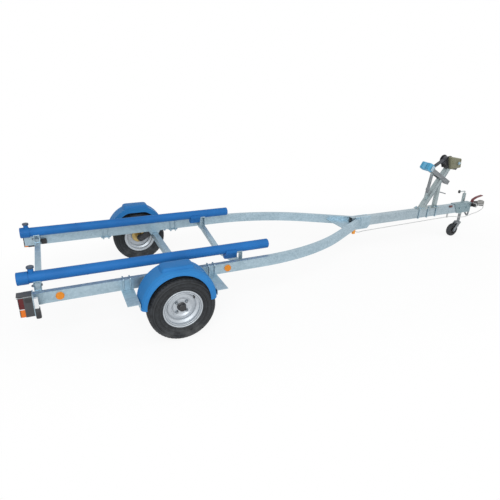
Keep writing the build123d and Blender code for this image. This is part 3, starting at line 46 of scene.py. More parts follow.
# A single-axle boat trailer. Distances are in millimetres, unless a comment says metres: forward of
# the wheel centres, to the left, and up from the floor. at() puts them into the shared frame.
MM = 0.001
AXLE_STATION = -1.4795
AHEAD = np.array([1.0, 0.0, 0.0])
LEFT = np.array([0.0, 1.0, 0.0])
UP = np.array([0.0, 0.0, 1.0])
WHEEL_RADIUS = 243.0
WHEEL_Y = 730.0
RAIL_INNER = 518.0
RAIL_OUTER = 558.0
RAIL_BOTTOM = 349.0
RAIL_MIDDLE = 389.0
REAR_MEMBER_X = -885.0
FRONT_MEMBER_X = 555.0
BUNK_Y = 441.0
MAST_X = 2955.0
BRACE_X = 3150.0
POST_TOP = 447.0
NECK_Z = 412.0
JOCKEY_Y = 84.0
JOCKEY_AXLE = (3639.0, JOCKEY_Y, 78.0)


def at(x, y, z):
    """Metres in the shared frame: all is scaled by a thousandth, and the station is moved by the axle's."""
    metres = AXLE_STATION + np.asarray(x) * MM, np.asarray(y) * MM, np.asarray(z) * MM
    return np.stack(np.broadcast_arrays(*metres), axis=-1)


def stood(right, up, back, place):
    """A four-by-four matrix with three axes and a place as its columns."""
    turn = np.eye(4)
    turn[:3] = np.stack([right, up, back, place], axis=1)
    return Matrix(turn.tolist())


# Camera, fitted to the photograph's perspective
CAMERA_PLACE = at(-704.7, -3267.3, 1794.2)
CAMERA_YAW = radians(25.8)
CAMERA_PITCH = radians(23.1)
CAMERA_ROLL = radians(-2.2)
CAMERA_LENS = 30.57
CAMERA_SENSOR = 36.0

# How far the camera sees, in metres
CAMERA_REACH = 200.0


def set_camera():
    """The view: yaw turns it from straight across, pitch lowers it, roll tilts it about its own axis."""
    across_floor = np.array([sin(CAMERA_YAW), cos(CAMERA_YAW), 0.0])
    ahead = cos(CAMERA_PITCH) * across_floor - sin(CAMERA_PITCH) * UP
    level = np.array([cos(CAMERA_YAW), -sin(CAMERA_YAW), 0.0])
    down = np.cross(ahead, level)
    right = cos(CAMERA_ROLL) * level + sin(CAMERA_ROLL) * down
    up = sin(CAMERA_ROLL) * level - cos(CAMERA_ROLL) * down
    lens = bpy.data.cameras.new("camera")
    lens.lens = CAMERA_LENS
    lens.sensor_width = CAMERA_SENSOR
    lens.clip_end = CAMERA_REACH
    camera = bpy.data.objects.new("camera", lens)
    camera.matrix_world = stood(right, up, -ahead, CAMERA_PLACE)
    bpy.context.scene.collection.objects.link(camera)
    bpy.context.scene.camera = camera


set_camera()


# Shapes: each is an array of points and an array of four-cornered faces

BAR_SIDES = 48
RING_POINTS = 150
LINE_STEP = 1.7
LEAST_LINE_POINTS = 6


def around(count):
    """Angles spread evenly over a full turn."""
    return np.linspace(0.0, 2 * pi, count, endpoint=False)


def grid_faces(rows, columns, close_rows, close_columns):
    """Faces between neighbouring rows and columns of a grid, joined end to end where it closes."""
    row = np.arange(rows if close_rows else rows - 1)
    column = np.arange(columns if close_columns else columns - 1)
    row, column = np.meshgrid(row, column, indexing="ij")
    below, beside = (row + 1) % rows, (column + 1) % columns
    corners = [(row, column), (below, column), (below, beside), (row, beside)]
    return np.stack([r * columns + c for r, c in corners], axis=-1).reshape(-1, 4)


def grid(points, close_rows=False, close_columns=False):
    """A surface from a grid of points, rows by columns by three."""
    rows, columns = points.shape[:2]
    return points.reshape(-1, 3), grid_faces(rows, columns, close_rows, close_columns)


def joined(*shapes):
    """Several shapes as one: faces are renumbered by the points that come before them."""
    before = np.cumsum([0] + [len(points) for points, faces in shapes])
    faces = [part[1] + start for part, start in zip(shapes, before)]
    return np.concatenate([points for points, part in shapes]), np.concatenate(faces)


def mirrored(*shapes):
    """The shapes with their mirror images on the other side of the middle plane."""
    points, faces = joined(*shapes)
    return joined((points, faces), (points * [1.0, -1.0, 1.0], faces[:, ::-1]))


def unit(vector):
    """A direction of length one."""
    vector = np.asarray(vector, float)
    return vector / np.linalg.norm(vector, axis=-1, keepdims=True)


def across(axis):
    """Two directions square to an axis and to each other."""
    axis = unit(axis)
    helper = np.eye(3)[np.argmin(np.abs(axis))]
    first = unit(np.cross(axis, helper))
    return first, np.cross(axis, first)


def turned(profile, start, axis, sides, flutes=0, depth=0.0):
    """A turned shape: each (height, radius) of the profile goes round the axis, at height along it.
    Flutes are a cosine of that depth on the radius, flutes times round."""
    profile = np.asarray(profile, float) * MM
    first, second = across(axis)
    angle = around(sides)
    height, radius = profile[:, 0, None], profile[:, 1, None] * (1.0 + depth * np.cos(flutes * angle))
    ring = np.cos(angle)[:, None] * first + np.sin(angle)[:, None] * second
    return grid(start + height[..., None] * unit(axis) + radius[..., None] * ring, close_columns=True)


def carried(path, radius, sides=10, closed=False):
    """A round bar: a circle of the given radius, one value or one per point, carried along a path
    and kept square to it."""
    path = np.asarray(path, float)
    if closed:
        ahead = np.roll(path, -1, axis=0) - np.roll(path, 1, axis=0)
    else:
        ahead = np.gradient(path, axis=0)
    ahead = unit(ahead)
    helper = np.eye(3)[np.argmin(np.abs(ahead).mean(axis=0))]
    side = unit(np.cross(ahead, helper))
    over = np.cross(ahead, side)
    angle = around(sides)
    ring = np.cos(angle)[None, :, None] * side[:, None] + np.sin(angle)[None, :, None] * over[:, None]
    size = np.broadcast_to(np.asarray(radius, float) * MM, (len(path),))[:, None, None]
    return grid(path[:, None] + size * ring, close_rows=closed, close_columns=True)


def rounded_sides(angle, power):
    """A superellipse's shares of its two half-sides: cosine and sine, each to the power of 2 / power."""
    c, s = np.cos(angle), np.sin(angle)
    return np.sign(c) * np.abs(c) ** (2 / power), np.sign(s) * np.abs(s) ** (2 / power)


def ring_path(centre, first, second, power=7.0):
    """A rounded rectangle: a superellipse with two half-sides, of the given power."""
    u, v = rounded_sides(around(RING_POINTS)[:, None], power)
    return centre + u * first * MM + v * second * MM


def rounded_bar(start, end, first, second, ease, power=7.0):
    """A rounded rectangle, a superellipse with two half-sides, carried straight from one place to another
    and drawn in at both ends by an ease."""
    length = np.linalg.norm(end - start) / MM
    along = np.array([0.0, 0.0, 0.3 * ease, ease])
    along = np.concatenate([along, length - along[::-1]])[:, None, None]
    inset = np.array([0.0, ease, 0.3 * ease, 0.0])
    inset = np.concatenate([inset, inset[::-1]])[:, None, None]
    shown = np.array([0.0] + [1.0] * 6 + [0.0])[:, None, None]
    u, v = rounded_sides(around(BAR_SIDES)[None, :, None], power)
    wide = u * first * shown * (1.0 - inset / np.linalg.norm(first))
    tall = v * second * shown * (1.0 - inset / np.linalg.norm(second))
    return grid(start + (along * unit(end - start) + wide + tall) * MM, close_columns=True)


def straight(start, end):
    """Points in even steps on the line between two places."""
    count = max(LEAST_LINE_POINTS, int(np.linalg.norm(end - start) / MM / LINE_STEP))
    return start + np.linspace(0.0, 1.0, count)[:, None] * (end - start)


# Finishes: shared effects are node groups, and each material places them with its own values

CRYSTAL_SHARE = 0.24
CLOUD_SHARE = 0.41
RUN_SHARE = 0.35
RUN_SQUEEZE = (2.5, 42.0, 42.0)
# Share of the painted highlight on the edges of plastic and powder coat
EDGE_HIGHLIGHT_SHARE = 0.35
LENS_RIBS = 60.0


def add_node(tree, kind, inputs=None, **settings):
    """A node with its settings, and its inputs either linked or set."""
    node = tree.nodes.new(kind)
    for name, value in settings.items():
        setattr(node, name, value)
    for key, value in (inputs or {}).items():
        if isinstance(value, bpy.types.NodeSocket):
            tree.links.new(value, node.inputs[key])
        else:
            node.inputs[key].default_value = value
    return node


def object_place(tree):
    """A point's place in its object, which is its place in the shared frame."""
    return add_node(tree, "ShaderNodeTexCoord").outputs["Object"]


def number(tree, operation, first, second):
    """A sum, product or larger one of two values."""
    return add_node(tree, "ShaderNodeMath", {0: first, 1: second}, operation=operation).outputs[0]


def vector(tree, operation, first, second):
    """A difference or product of two vectors, part by part."""
    return add_node(tree, "ShaderNodeVectorMath", {0: first, 1: second}, operation=operation).outputs[0]


def vector_length(tree, first):
    """The length of a vector."""
    return add_node(tree, "ShaderNodeVectorMath", {0: first}, operation="LENGTH").outputs["Value"]


def noise(tree, place, scale, detail):
    """A cloudy value of so many clouds to a metre."""
    inputs = {"Vector": place, "Scale": scale, "Detail": detail}
    return add_node(tree, "ShaderNodeTexNoise", inputs).outputs["Fac"]


def spread(tree, value, low, high, start=0.0, end=1.0):
    """A value between start and end spread evenly from low to high."""
    inputs = {"Value": value, "From Min": start, "From Max": end, "To Min": low, "To Max": high}
    return add_node(tree, "ShaderNodeMapRange", inputs).outputs["Result"]


def shade(colour):
    """A colour with its alpha."""
    return (*colour, 1.0)


def blended(tree, amount, first, second):
    """Two colours mixed by an amount, each a socket or plain red, green and blue."""
    first, second = [c if isinstance(c, bpy.types.NodeSocket) else shade(c) for c in (first, second)]
    return add_node(tree, "ShaderNodeMix", {0: amount, 6: first, 7: second}, data_type="RGBA").outputs[2]


def bumped(tree, height, strength, distance):
    """A normal raised by a height."""
    inputs = {"Height": height, "Strength": strength, "Distance": distance}
    return add_node(tree, "ShaderNodeBump", inputs).outputs["Normal"]


def new_group(name, inputs, outputs):
    """A shader node group with named number inputs and outputs, and the two ends to link to."""
    tree = bpy.data.node_groups.new(name, "ShaderNodeTree")
    for label, value in inputs.items():
        socket = tree.interface.new_socket(label, in_out="INPUT", socket_type="NodeSocketFloat")
        socket.default_value = value
    for label in outputs:
        tree.interface.new_socket(label, in_out="OUTPUT", socket_type="NodeSocketFloat")
    return tree, tree.nodes.new("NodeGroupInput").outputs, tree.nodes.new("NodeGroupOutput").inputs


def zinc_spangle_group():
    """Zinc crystals: cells of a distorted Voronoi pattern each take one shade, with clouds over them
    and runs drawn out along the trailer."""
    outputs = ["Shade", "Polish", "Height"]
    tree, given, made = new_group("zinc_spangle", {"Crystals": 70.0, "Clouds": 5.0}, outputs)
    place = object_place(tree)
    ripple = add_node(tree, "ShaderNodeTexNoise", {"Vector": place, "Scale": 24.0, "Detail": 3.0})
    bend = {0: 0.035, 4: place, 5: ripple.outputs["Color"]}
    bent = add_node(tree, "ShaderNodeMix", bend, data_type="VECTOR").outputs[1]
    cells = add_node(tree, "ShaderNodeTexVoronoi", {"Vector": bent, "Scale": given["Crystals"]})
    split = add_node(tree, "ShaderNodeSeparateColor", {"Color": cells.outputs["Color"]}).outputs
    drawn_out = vector(tree, "MULTIPLY", place, RUN_SQUEEZE)
    crystal = number(tree, "MULTIPLY", split[0], CRYSTAL_SHARE)
    cloud = number(tree, "MULTIPLY", noise(tree, place, given["Clouds"], 5.0), CLOUD_SHARE)
    run = number(tree, "MULTIPLY", noise(tree, drawn_out, 1.0, 3.0), RUN_SHARE)
    gloss = number(tree, "MULTIPLY", split[1], 0.6)
    facet = number(tree, "MULTIPLY", crystal, 0.6)
    tree.links.new(number(tree, "ADD", crystal, number(tree, "ADD", cloud, run)), made["Shade"])
    tree.links.new(number(tree, "ADD", gloss, cloud), made["Polish"])
    tree.links.new(number(tree, "ADD", noise(tree, place, 420.0, 2.0), facet), made["Height"])
    return tree


def moulded_grain_group():
    """The fine grain of a moulded or powder-coated skin: two noises of different size."""
    tree, given, made = new_group("moulded_grain", {"Grain": 600.0, "Clouds": 6.0}, ["Shade", "Height"])
    place = object_place(tree)
    tree.links.new(noise(tree, place, given["Clouds"], 4.0), made["Shade"])
    tree.links.new(noise(tree, place, given["Grain"], 2.0), made["Height"])
    return tree


def painted_edge_highlight_group():
    """A painted highlight on edges: where a rounded normal departs from the true one, broken up by noise."""
    tree, given, made = new_group("painted_edge_highlight", {"Width": 0.004, "Patches": 40.0}, ["Mask"])
    rounded = add_node(tree, "ShaderNodeBevel", {"Radius": given["Width"]}, samples=6).outputs["Normal"]
    true = add_node(tree, "ShaderNodeNewGeometry").outputs["Normal"]
    turn = add_node(tree, "ShaderNodeVectorMath", {0: rounded, 1: true}, operation="DOT_PRODUCT")
    edge = spread(tree, turn.outputs["Value"], 1.0, 0.0, start=0.72, end=0.995)
    patches = noise(tree, object_place(tree), given["Patches"], 4.0)
    broken = spread(tree, patches, 0.0, 1.0, start=0.35, end=0.65)
    tree.links.new(number(tree, "MULTIPLY", edge, broken), made["Mask"])
    return tree


def road_dust_group():
    """Dust that thickens towards the floor: a fall with height times a broken noise."""
    tree, given, made = new_group("road_dust", {"Top": 0.3, "Patches": 14.0}, ["Mask"])
    place = object_place(tree)
    height = add_node(tree, "ShaderNodeSeparateXYZ", {"Vector": place}).outputs["Z"]
    fall = spread(tree, height, 1.0, 0.0, end=given["Top"])
    broken = spread(tree, noise(tree, place, given["Patches"], 6.0), 0.0, 1.0, start=0.38, end=0.7)
    tree.links.new(number(tree, "MULTIPLY", fall, broken), made["Mask"])
    return tree


ZINC_SPANGLE = zinc_spangle_group()
MOULDED_GRAIN = moulded_grain_group()
PAINTED_EDGE_HIGHLIGHT = painted_edge_highlight_group()
ROAD_DUST = road_dust_group()


def effect(tree, group, **inputs):
    """A shared effect placed in a material with its own values."""
    node = tree.nodes.new("ShaderNodeGroup")
    node.node_tree = group
    for label, value in inputs.items():
        node.inputs[label].default_value = value
    return node.outputs


def new_finish(name, **sockets):
    """A material and its Principled shader, with the sockets that stay the same all over set."""
    material = bpy.data.materials.new(name)
    material.use_nodes = True
    shader = material.node_tree.nodes["Principled BSDF"]
    for label, value in sockets.items():
        shader.inputs[label.replace("_", " ")].default_value = value
    return material, material.node_tree, shader


def link(tree, shader, **sockets):
    """Links values to the shader's sockets."""
    for label, value in sockets.items():
        tree.links.new(value, shader.inputs[label.replace("_", " ")])


def zinc_finish(name, dark, pale, rough, crystals, metallic):
    """Hot-dip zinc: spangle shades between a dark and a pale grey, with a painted highlight on edges."""
    material, tree, shader = new_finish(name, Metallic=metallic)
    spangle = effect(tree, ZINC_SPANGLE, Crystals=crystals, Clouds=4.0)
    edge = effect(tree, PAINTED_EDGE_HIGHLIGHT, Width=0.005, Patches=30.0)["Mask"]
    zinc = blended(tree, spread(tree, spangle["Shade"], 0.0, 1.0, start=0.28, end=0.68), dark, pale)
    # Edges painted a brighter zinc, as a highlight
    bright = [min(1.0, channel * 1.25) for channel in pale]
    link(tree, shader, Base_Color=blended(tree, number(tree, "MULTIPLY", edge, 0.6), zinc, bright),
         Roughness=spread(tree, spangle["Polish"], *rough),
         Normal=bumped(tree, spangle["Height"], strength=0.12, distance=0.0008))
    return material


def moulded_finish(name, base, light, rough, grain, bump, **sockets):
    """Moulded plastic or powder coat: a clouded colour, fine grain and a painted highlight on edges."""
    material, tree, shader = new_finish(name, **sockets)
    skin = effect(tree, MOULDED_GRAIN, Grain=grain, Clouds=5.0)
    edge = effect(tree, PAINTED_EDGE_HIGHLIGHT, Width=0.003, Patches=60.0)["Mask"]
    colour = blended(tree, spread(tree, skin["Shade"], 0.0, 1.0, start=0.3, end=0.7), base, light)
    # Edges painted paler, as a highlight
    pale = [channel + EDGE_HIGHLIGHT_SHARE * (0.6 - channel) * 0.5 for channel in light]
    link(tree, shader, Base_Color=blended(tree, number(tree, "MULTIPLY", edge, EDGE_HIGHLIGHT_SHARE), colour, pale),
         Roughness=spread(tree, skin["Shade"], *rough),
         Normal=bumped(tree, skin["Height"], strength=bump, distance=0.0006))
    return material


def lens_finish(name, deep, bright):
    """A ribbed lamp lens: waves across it and up it are its prisms, with painted shade between them
    and a painted highlight on their crowns."""
    material, tree, shader = new_finish(name, Roughness=0.2, Specular_IOR_Level=0.3, Coat_Weight=0.2,
                                        Coat_Roughness=0.08)
    inputs = {"Vector": object_place(tree), "Scale": LENS_RIBS, "Distortion": 0.0}
    prisms, rows = [add_node(tree, "ShaderNodeTexWave", inputs, wave_type="BANDS", bands_direction=way)
                    for way in "YZ"]
    lower = number(tree, "MULTIPLY", rows.outputs["Fac"], 0.7)
    height = number(tree, "ADD", prisms.outputs["Fac"], lower)
    # Painted shade between the prisms, painted highlight on their crowns
    colour = blended(tree, spread(tree, height, 0.0, 1.0, start=0.2, end=1.5), deep, bright)
    link(tree, shader, Base_Color=colour, Normal=bumped(tree, height, strength=0.35, distance=0.001))
    return material


def rubber_finish(name, base, light, dust, dust_top, axle):
    """Road rubber: near-black, with bloom drawn out in rings about the axle, fine scuffs, and dust
    towards the floor."""
    material, tree, shader = new_finish(name, Specular_IOR_Level=0.3)
    place = object_place(tree)
    skin = effect(tree, MOULDED_GRAIN, Grain=900.0, Clouds=20.0)
    dusty = effect(tree, ROAD_DUST, Top=dust_top, Patches=16.0)["Mask"]
    from_axle = vector(tree, "MULTIPLY", vector(tree, "SUBTRACT", place, axle), (1.0, 0.0, 1.0))
    inputs = {"W": vector_length(tree, from_axle), "Scale": 130.0, "Detail": 2.0}
    rings = add_node(tree, "ShaderNodeTexNoise", inputs, noise_dimensions="1D").outputs["Fac"]
    scuffs = number(tree, "ADD", noise(tree, place, 70.0, 6.0), skin["Shade"])
    worn = number(tree, "MULTIPLY", rings, scuffs)
    bloom = blended(tree, spread(tree, worn, 0.0, 1.0, start=0.3, end=0.72), base, light)
    link(tree, shader, Base_Color=blended(tree, number(tree, "MULTIPLY", dusty, 0.45), bloom, dust),
         Roughness=spread(tree, skin["Shade"], 0.55, 0.8),
         Normal=bumped(tree, skin["Height"], strength=0.2, distance=0.0007))
    return material


def webbing_finish(name, base, light):
    """Woven webbing: two fine waves at a slant to each other make the twill, with paler crowns."""
    material, tree, shader = new_finish(name, Sheen_Weight=0.25)
    place = object_place(tree)
    warp = add_node(tree, "ShaderNodeTexWave", {"Vector": place, "Scale": 170.0}, bands_direction="Y")
    weft = add_node(tree, "ShaderNodeTexWave", {"Vector": place, "Scale": 130.0}, bands_direction="DIAGONAL")
    height = number(tree, "MULTIPLY", warp.outputs["Fac"], weft.outputs["Fac"])
    link(tree, shader, Base_Color=blended(tree, height, base, light),
         Roughness=spread(tree, height, 0.85, 0.65),
         Normal=bumped(tree, height, strength=0.4, distance=0.001))
    return material


# Zinc and bare steel: dark shade, pale shade, roughness from and to, crystals to a metre, metal share
ZINC_TABLE = {
    "galvanised": ((0.29, 0.395, 0.46), (0.41, 0.53, 0.605), (0.36, 0.54), 70.0, 0.9),
    "post_zinc": ((0.28, 0.335, 0.345), (0.39, 0.455, 0.465), (0.36, 0.54), 70.0, 0.9),
    "drawbar_zinc": ((0.30, 0.375, 0.42), (0.42, 0.505, 0.555), (0.36, 0.54), 70.0, 0.9),
    "sleeve_zinc": ((0.185, 0.26, 0.285), (0.27, 0.36, 0.395), (0.34, 0.5), 70.0, 0.9),
    "grey_steel": ((0.16, 0.175, 0.185), (0.27, 0.29, 0.305), (0.4, 0.58), 90.0, 0.9),
    "axle_steel": ((0.16, 0.18, 0.20), (0.28, 0.31, 0.34), (0.4, 0.6), 90.0, 0.9),
    "arm_dark": ((0.03, 0.031, 0.034), (0.075, 0.078, 0.084), (0.42, 0.6), 90.0, 0.9),
    "coupling_casting": ((0.185, 0.185, 0.18), (0.255, 0.255, 0.245), (0.42, 0.62), 160.0, 0.7),
    "zinc_gold": ((0.30, 0.21, 0.07), (0.56, 0.43, 0.19), (0.26, 0.42), 220.0, 0.9),
}

# Plastic and powder coat: base shade, light shade, roughness from and to, grains to a metre, bump
MOULDED_TABLE = {
    "mudguard_blue": ((0.024, 0.158, 0.405), (0.031, 0.193, 0.475), (0.42, 0.56), 420.0, 0.12),
    # The step pads' blue is a darker copy of the mudguard's: painted shade on their upward faces
    "step_blue_painted_shade": ((0.02, 0.138, 0.372), (0.026, 0.168, 0.43), (0.44, 0.58), 300.0, 0.2),
    "bunk_blue": ((0.011, 0.112, 0.345), (0.015, 0.142, 0.42), (0.5, 0.64), 380.0, 0.14),
    "bow_blue": ((0.05, 0.28, 0.46), (0.085, 0.36, 0.57), (0.42, 0.56), 350.0, 0.2),
    "black_plastic": ((0.012, 0.012, 0.013), (0.022, 0.022, 0.024), (0.38, 0.52), 700.0, 0.25),
    "lamp_grey": ((0.022, 0.025, 0.028), (0.042, 0.045, 0.05), (0.4, 0.54), 700.0, 0.25),
    "cap_grey": ((0.022, 0.04, 0.07), (0.036, 0.06, 0.1), (0.4, 0.54), 600.0, 0.2),
    "black_steel": ((0.012, 0.013, 0.015), (0.026, 0.027, 0.03), (0.3, 0.42), 800.0, 0.2),
    "olive_steel": ((0.12, 0.12, 0.075), (0.165, 0.165, 0.105), (0.34, 0.46), 650.0, 0.2),
    "red_grip": ((0.115, 0.016, 0.02), (0.17, 0.026, 0.03), (0.4, 0.52), 600.0, 0.2),
    "catch_red": ((0.09, 0.022, 0.022), (0.13, 0.035, 0.033), (0.45, 0.6), 600.0, 0.2),
    "rim_silver": ((0.40, 0.435, 0.47), (0.52, 0.56, 0.60), (0.36, 0.5), 900.0, 0.08),
    "lead_rubber": ((0.40, 0.41, 0.41), (0.50, 0.51, 0.51), (0.5, 0.62), 900.0, 0.2),
}

# Other sockets that some of them set
MOULDED_SOCKETS = {
    "mudguard_blue": {"Specular_IOR_Level": 0.1},
    "step_blue_painted_shade": {"Specular_IOR_Level": 0.1},
    "bunk_blue": {"Specular_IOR_Level": 0.2},
    "rim_silver": {"Metallic": 0.55},
}

# Lenses: deep shade, painted between the prisms, and bright shade, a highlight painted on their crowns
LENS_TABLE = {
    "red_lens": ((0.035, 0.003, 0.004), (0.24, 0.012, 0.014)),
    "amber_lens": ((0.52, 0.10, 0.001), (0.86, 0.23, 0.004)),
    "reflector_amber": ((0.56, 0.17, 0.004), (0.86, 0.34, 0.02)),
    "clear_lens": ((0.55, 0.57, 0.58), (0.86, 0.88, 0.89)),
}

FINISHES = {name: zinc_finish(name, *row) for name, row in ZINC_TABLE.items()}
for finish_name, row in MOULDED_TABLE.items():
    FINISHES[finish_name] = moulded_finish(finish_name, *row, **MOULDED_SOCKETS.get(finish_name, {}))
for finish_name, row in LENS_TABLE.items():
    FINISHES[finish_name] = lens_finish(finish_name, *row)
FINISHES["strap_webbing"] = webbing_finish("strap_webbing", (0.02, 0.022, 0.03), (0.09, 0.1, 0.12))
FINISHES["wheel_rubber"] = rubber_finish("wheel_rubber", (0.005, 0.006, 0.007), (0.032, 0.036, 0.041),
                                         dust=(0.18, 0.185, 0.185), dust_top=0.17,
                                         axle=(AXLE_STATION, 0.0, WHEEL_RADIUS * MM))

# Nodes whose shade departs a little from the rest of their slot
NODE_FINISHES = {
    "drawbar": "drawbar_zinc",
    "winch_mast": "post_zinc",
    "winch_mast_braces": "post_zinc",
    "winch_post_base": "post_zinc",
    "jockey_outer_tube": "post_zinc",
    "jockey_crank": "post_zinc",
    "jockey_clamp": "post_zinc",
    "coupling_sleeve": "sleeve_zinc",
    "lifting_handle": "grey_steel",
    "axle_arms": "arm_dark",
    "tail_lamp_housings": "lamp_grey",
    "bunk_guide_caps": "cap_grey",
    "side_reflectors": "reflector_amber",
    "wiring_lead_fittings": "lead_rubber",
}

for subpart in frame["record"]["subparts"]:
    node = nodes[subpart["node"]]
    node.data.materials.clear()
    node.data.materials.append(FINISHES[NODE_FINISHES.get(subpart["node"], subpart["material_slot"])])


# In metres: points this close are merged, and edges this short are dissolved
MERGE_DISTANCE = 1e-6
SLIVER_EDGE = 1e-7


def add_piece(name, shape, slot, body="chassis", finish=None, sharp=38.0):
    """Puts a shape into a mesh: doubled points are merged, faces turned outwards, and edges over an angle
    kept sharp. Its finish is its slot's, unless another is named."""
    points, faces = shape
    mesh = bpy.data.meshes.new(name)
    mesh.vertices.add(len(points))
    mesh.vertices.foreach_set("co", np.ascontiguousarray(points, np.float32).ravel())
    mesh.loops.add(faces.size)
    mesh.loops.foreach_set("vertex_index", np.ascontiguousarray(faces, np.int32).ravel())
    mesh.polygons.add(len(faces))
    mesh.polygons.foreach_set("loop_start", np.arange(0, faces.size, 4, dtype=np.int32))
    mesh.update(calc_edges=True)
    shell = bmesh.new()
    shell.from_mesh(mesh)
    bmesh.ops.remove_doubles(shell, verts=shell.verts, dist=MERGE_DISTANCE)
    bmesh.ops.dissolve_degenerate(shell, edges=shell.edges, dist=SLIVER_EDGE)
    bmesh.ops.recalc_face_normals(shell, faces=shell.faces)
    shell.to_mesh(mesh)
    shell.free()
    mesh.polygons.foreach_set("use_smooth", np.ones(len(mesh.polygons), bool))
    mesh.set_sharp_from_angle(angle=radians(sharp))
    mesh.materials.append(FINISHES[finish or slot])
    piece = bpy.data.objects.new(name, mesh)
    bpy.context.scene.collection.objects.link(piece)
    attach(piece, body)
    return piece


# The wiring lead, on the route of its solid

LEAD_ROUTE = [
    (2066.0, -8.0, 318.0),
    (2067.0, -8.0, 292.0),
    (2086.0, -10.0, 274.0),
    (2116.0, -13.0, 269.0),
    (2160.0, -16.0, 278.0),
    (2205.0, -16.2, 278.9),
    (3248.0, -21.6, 300.3),
    (3330.0, -22.0, 302.0),
    (3412.0, -22.0, 302.0),
    (3470.0, -24.0, 298.0),
    (3530.0, -27.0, 287.0),
    (3594.0, -30.0, 277.0),
    (3660.0, -32.0, 276.0),
    (3716.0, -33.0, 287.0),
    (3770.0, -36.0, 303.0),
    (3830.0, -40.0, 313.0),
    (3880.0, -44.0, 332.0),
    (3912.5, -47.0, 351.0),
    (3922.0, -48.5, 373.5),
    (3915.5, -49.5, 397.0),
    (3896.0, -50.0, 412.0),
    (3871.5, -50.0, 412.0),
    (3812.0, -50.0, 412.0),
]
LEAD_DIAMETER = 7.0


def add_lead():
    """The lead as one smooth spline whose control points are the route's points."""
    curve = bpy.data.curves.new("wiring_lead_run", "CURVE")
    curve.dimensions = "3D"
    curve.bevel_depth = LEAD_DIAMETER / 2 * MM
    curve.bevel_resolution = 4
    curve.resolution_u = 10
    spline = curve.splines.new("NURBS")
    spline.points.add(len(LEAD_ROUTE) - 1)
    for point, place in zip(spline.points, LEAD_ROUTE):
        point.co = (*at(*place), 1.0)
    spline.order_u = 3
    spline.use_endpoint_u = True
    curve.materials.append(FINISHES["lead_rubber"])
    lead = bpy.data.objects.new("wiring_lead_run", curve)
    bpy.context.scene.collection.objects.link(lead)
    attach(lead, "chassis")
    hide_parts("wiring_lead")


add_lead()


# Fasteners and welds that the sections below share

NUT_ACROSS = 17.0
NUT_HIGH = 8.5
NUT_WASHER = 1.8
THREAD_RADIUS = 5.0
THREAD_STEPS = np.linspace(0.0, 1.0, 25)
THREAD_TURNS = 8
WELD_STEP = 5.0


def hex_head(start, axis, wide, high, washer=0.0):
    """A six-sided head with a chamfered rim, on a round washer where it has one."""
    corner = wide / sqrt(3)
    head = [(0.0, 0.0), (0.0, corner), (high * 0.82, corner), (high, corner * 0.84), (high, 0.0)]
    shape = turned(head, start + unit(axis) * washer * MM, axis, sides=6)
    if washer:
        disc = [(0.0, 0.0), (0.0, wide * 0.72), (washer, wide * 0.72), (washer, 0.0)]
        shape = joined(shape, turned(disc, start, axis, sides=20))
    return shape


def thread(start, axis, length):
    """A threaded end: the radius rises and falls along the axis, and tapers at the tip."""
    size = THREAD_RADIUS + 0.5 * np.cos(THREAD_STEPS * 2 * pi * THREAD_TURNS)
    size[-3:] = THREAD_RADIUS - 0.4, THREAD_RADIUS - 1.4, 0.0
    return turned(np.stack([THREAD_STEPS * length, size], axis=1), start, axis, sides=14)


def nut(start, axis, tail):
    """A washer, a six-sided nut and the tail of thread that shows past it."""
    past = start + unit(axis) * (NUT_HIGH + 0.5) * MM
    return joined(hex_head(start, axis, NUT_ACROSS, NUT_HIGH, NUT_WASHER), thread(past, axis, tail))


def weld_bead(path, size, closed=False):
    """A weld: a round bead along a path, its thickness rippling with the welder's steps."""
    step = np.linalg.norm(np.diff(path, axis=0), axis=1)
    reach = np.concatenate([[0.0], np.cumsum(step)]) / MM
    radius = size * (0.86 + 0.14 * np.abs(np.sin(reach * pi / WELD_STEP)))
    if not closed:
        radius[0] = radius[-1] = 0.2
    return carried(path, radius, sides=8, closed=closed)


# Road wheels

TYRE_OUTSIDE = [
    (50.7, 139.0), (50.7, 144.5), (57.0, 150.0), (66.0, 163.0), (71.2, 178.0), (72.5, 191.0), (71.2, 204.0),
    (67.4, 217.0), (61.5, 228.5), (55.5, 235.6), (49.0, 239.0), (38.0, 241.4), (22.0, 242.7), (0.0, 243.0),
]
TYRE_INSIDE = [
    (40.0, 132.0), (44.0, 148.0), (57.0, 176.0), (61.0, 191.0), (56.0, 212.0), (44.0, 228.0), (0.0, 231.0),
]
TREAD_PITCHES = 54
TREAD_FOOT = 232.0
TREAD_EASE = 5.0
CUT_EASE = 3.0
TREAD_GROOVES = (-37.0, -13.0, 13.0, 37.0)
GROOVE_HALF = 4.0
GROOVE_DEPTH = 6.0
SHOULDER_START = 38.0
SIPE_SLANT = 70.0
SIPE_SHARE = 0.14
SIPE_DEPTH = 4.0
BLOCK_HALF = 11.0
BLOCK_SLANT = 40.0
BLOCK_SHARE = 0.12
BLOCK_DEPTH = 3.0
WALL_RIDGES = (158.0, 172.0, 213.0, 219.0)
RIDGE_WIDTH = 1.3
RIDGE_HEIGHT = 1.3
RIB_BANDS = ((203.0, 4.5), (153.5, 3.0))
RIB_HEIGHT = 0.6
BOLT_CIRCLE = 50.0
BOLT_SEAT = 9.5
VALVE_ANGLE = radians(42.0)
VALVE_REACH = 119.0
VALVE_SEAT = 21.0
HUB_FACE = 10.0
RIM_FACE = 54.5
RIM_SIDES = 144

# Rolled flange and pressed rings of the rim: radius, distance out from the wheel's middle, bead radius
RIM_BEADS = ((140.4, 53.4, 4.0), (125.6, 53.2, 2.8), (75.5, 19.4, 3.0), (103.0, 18.6, 2.2))


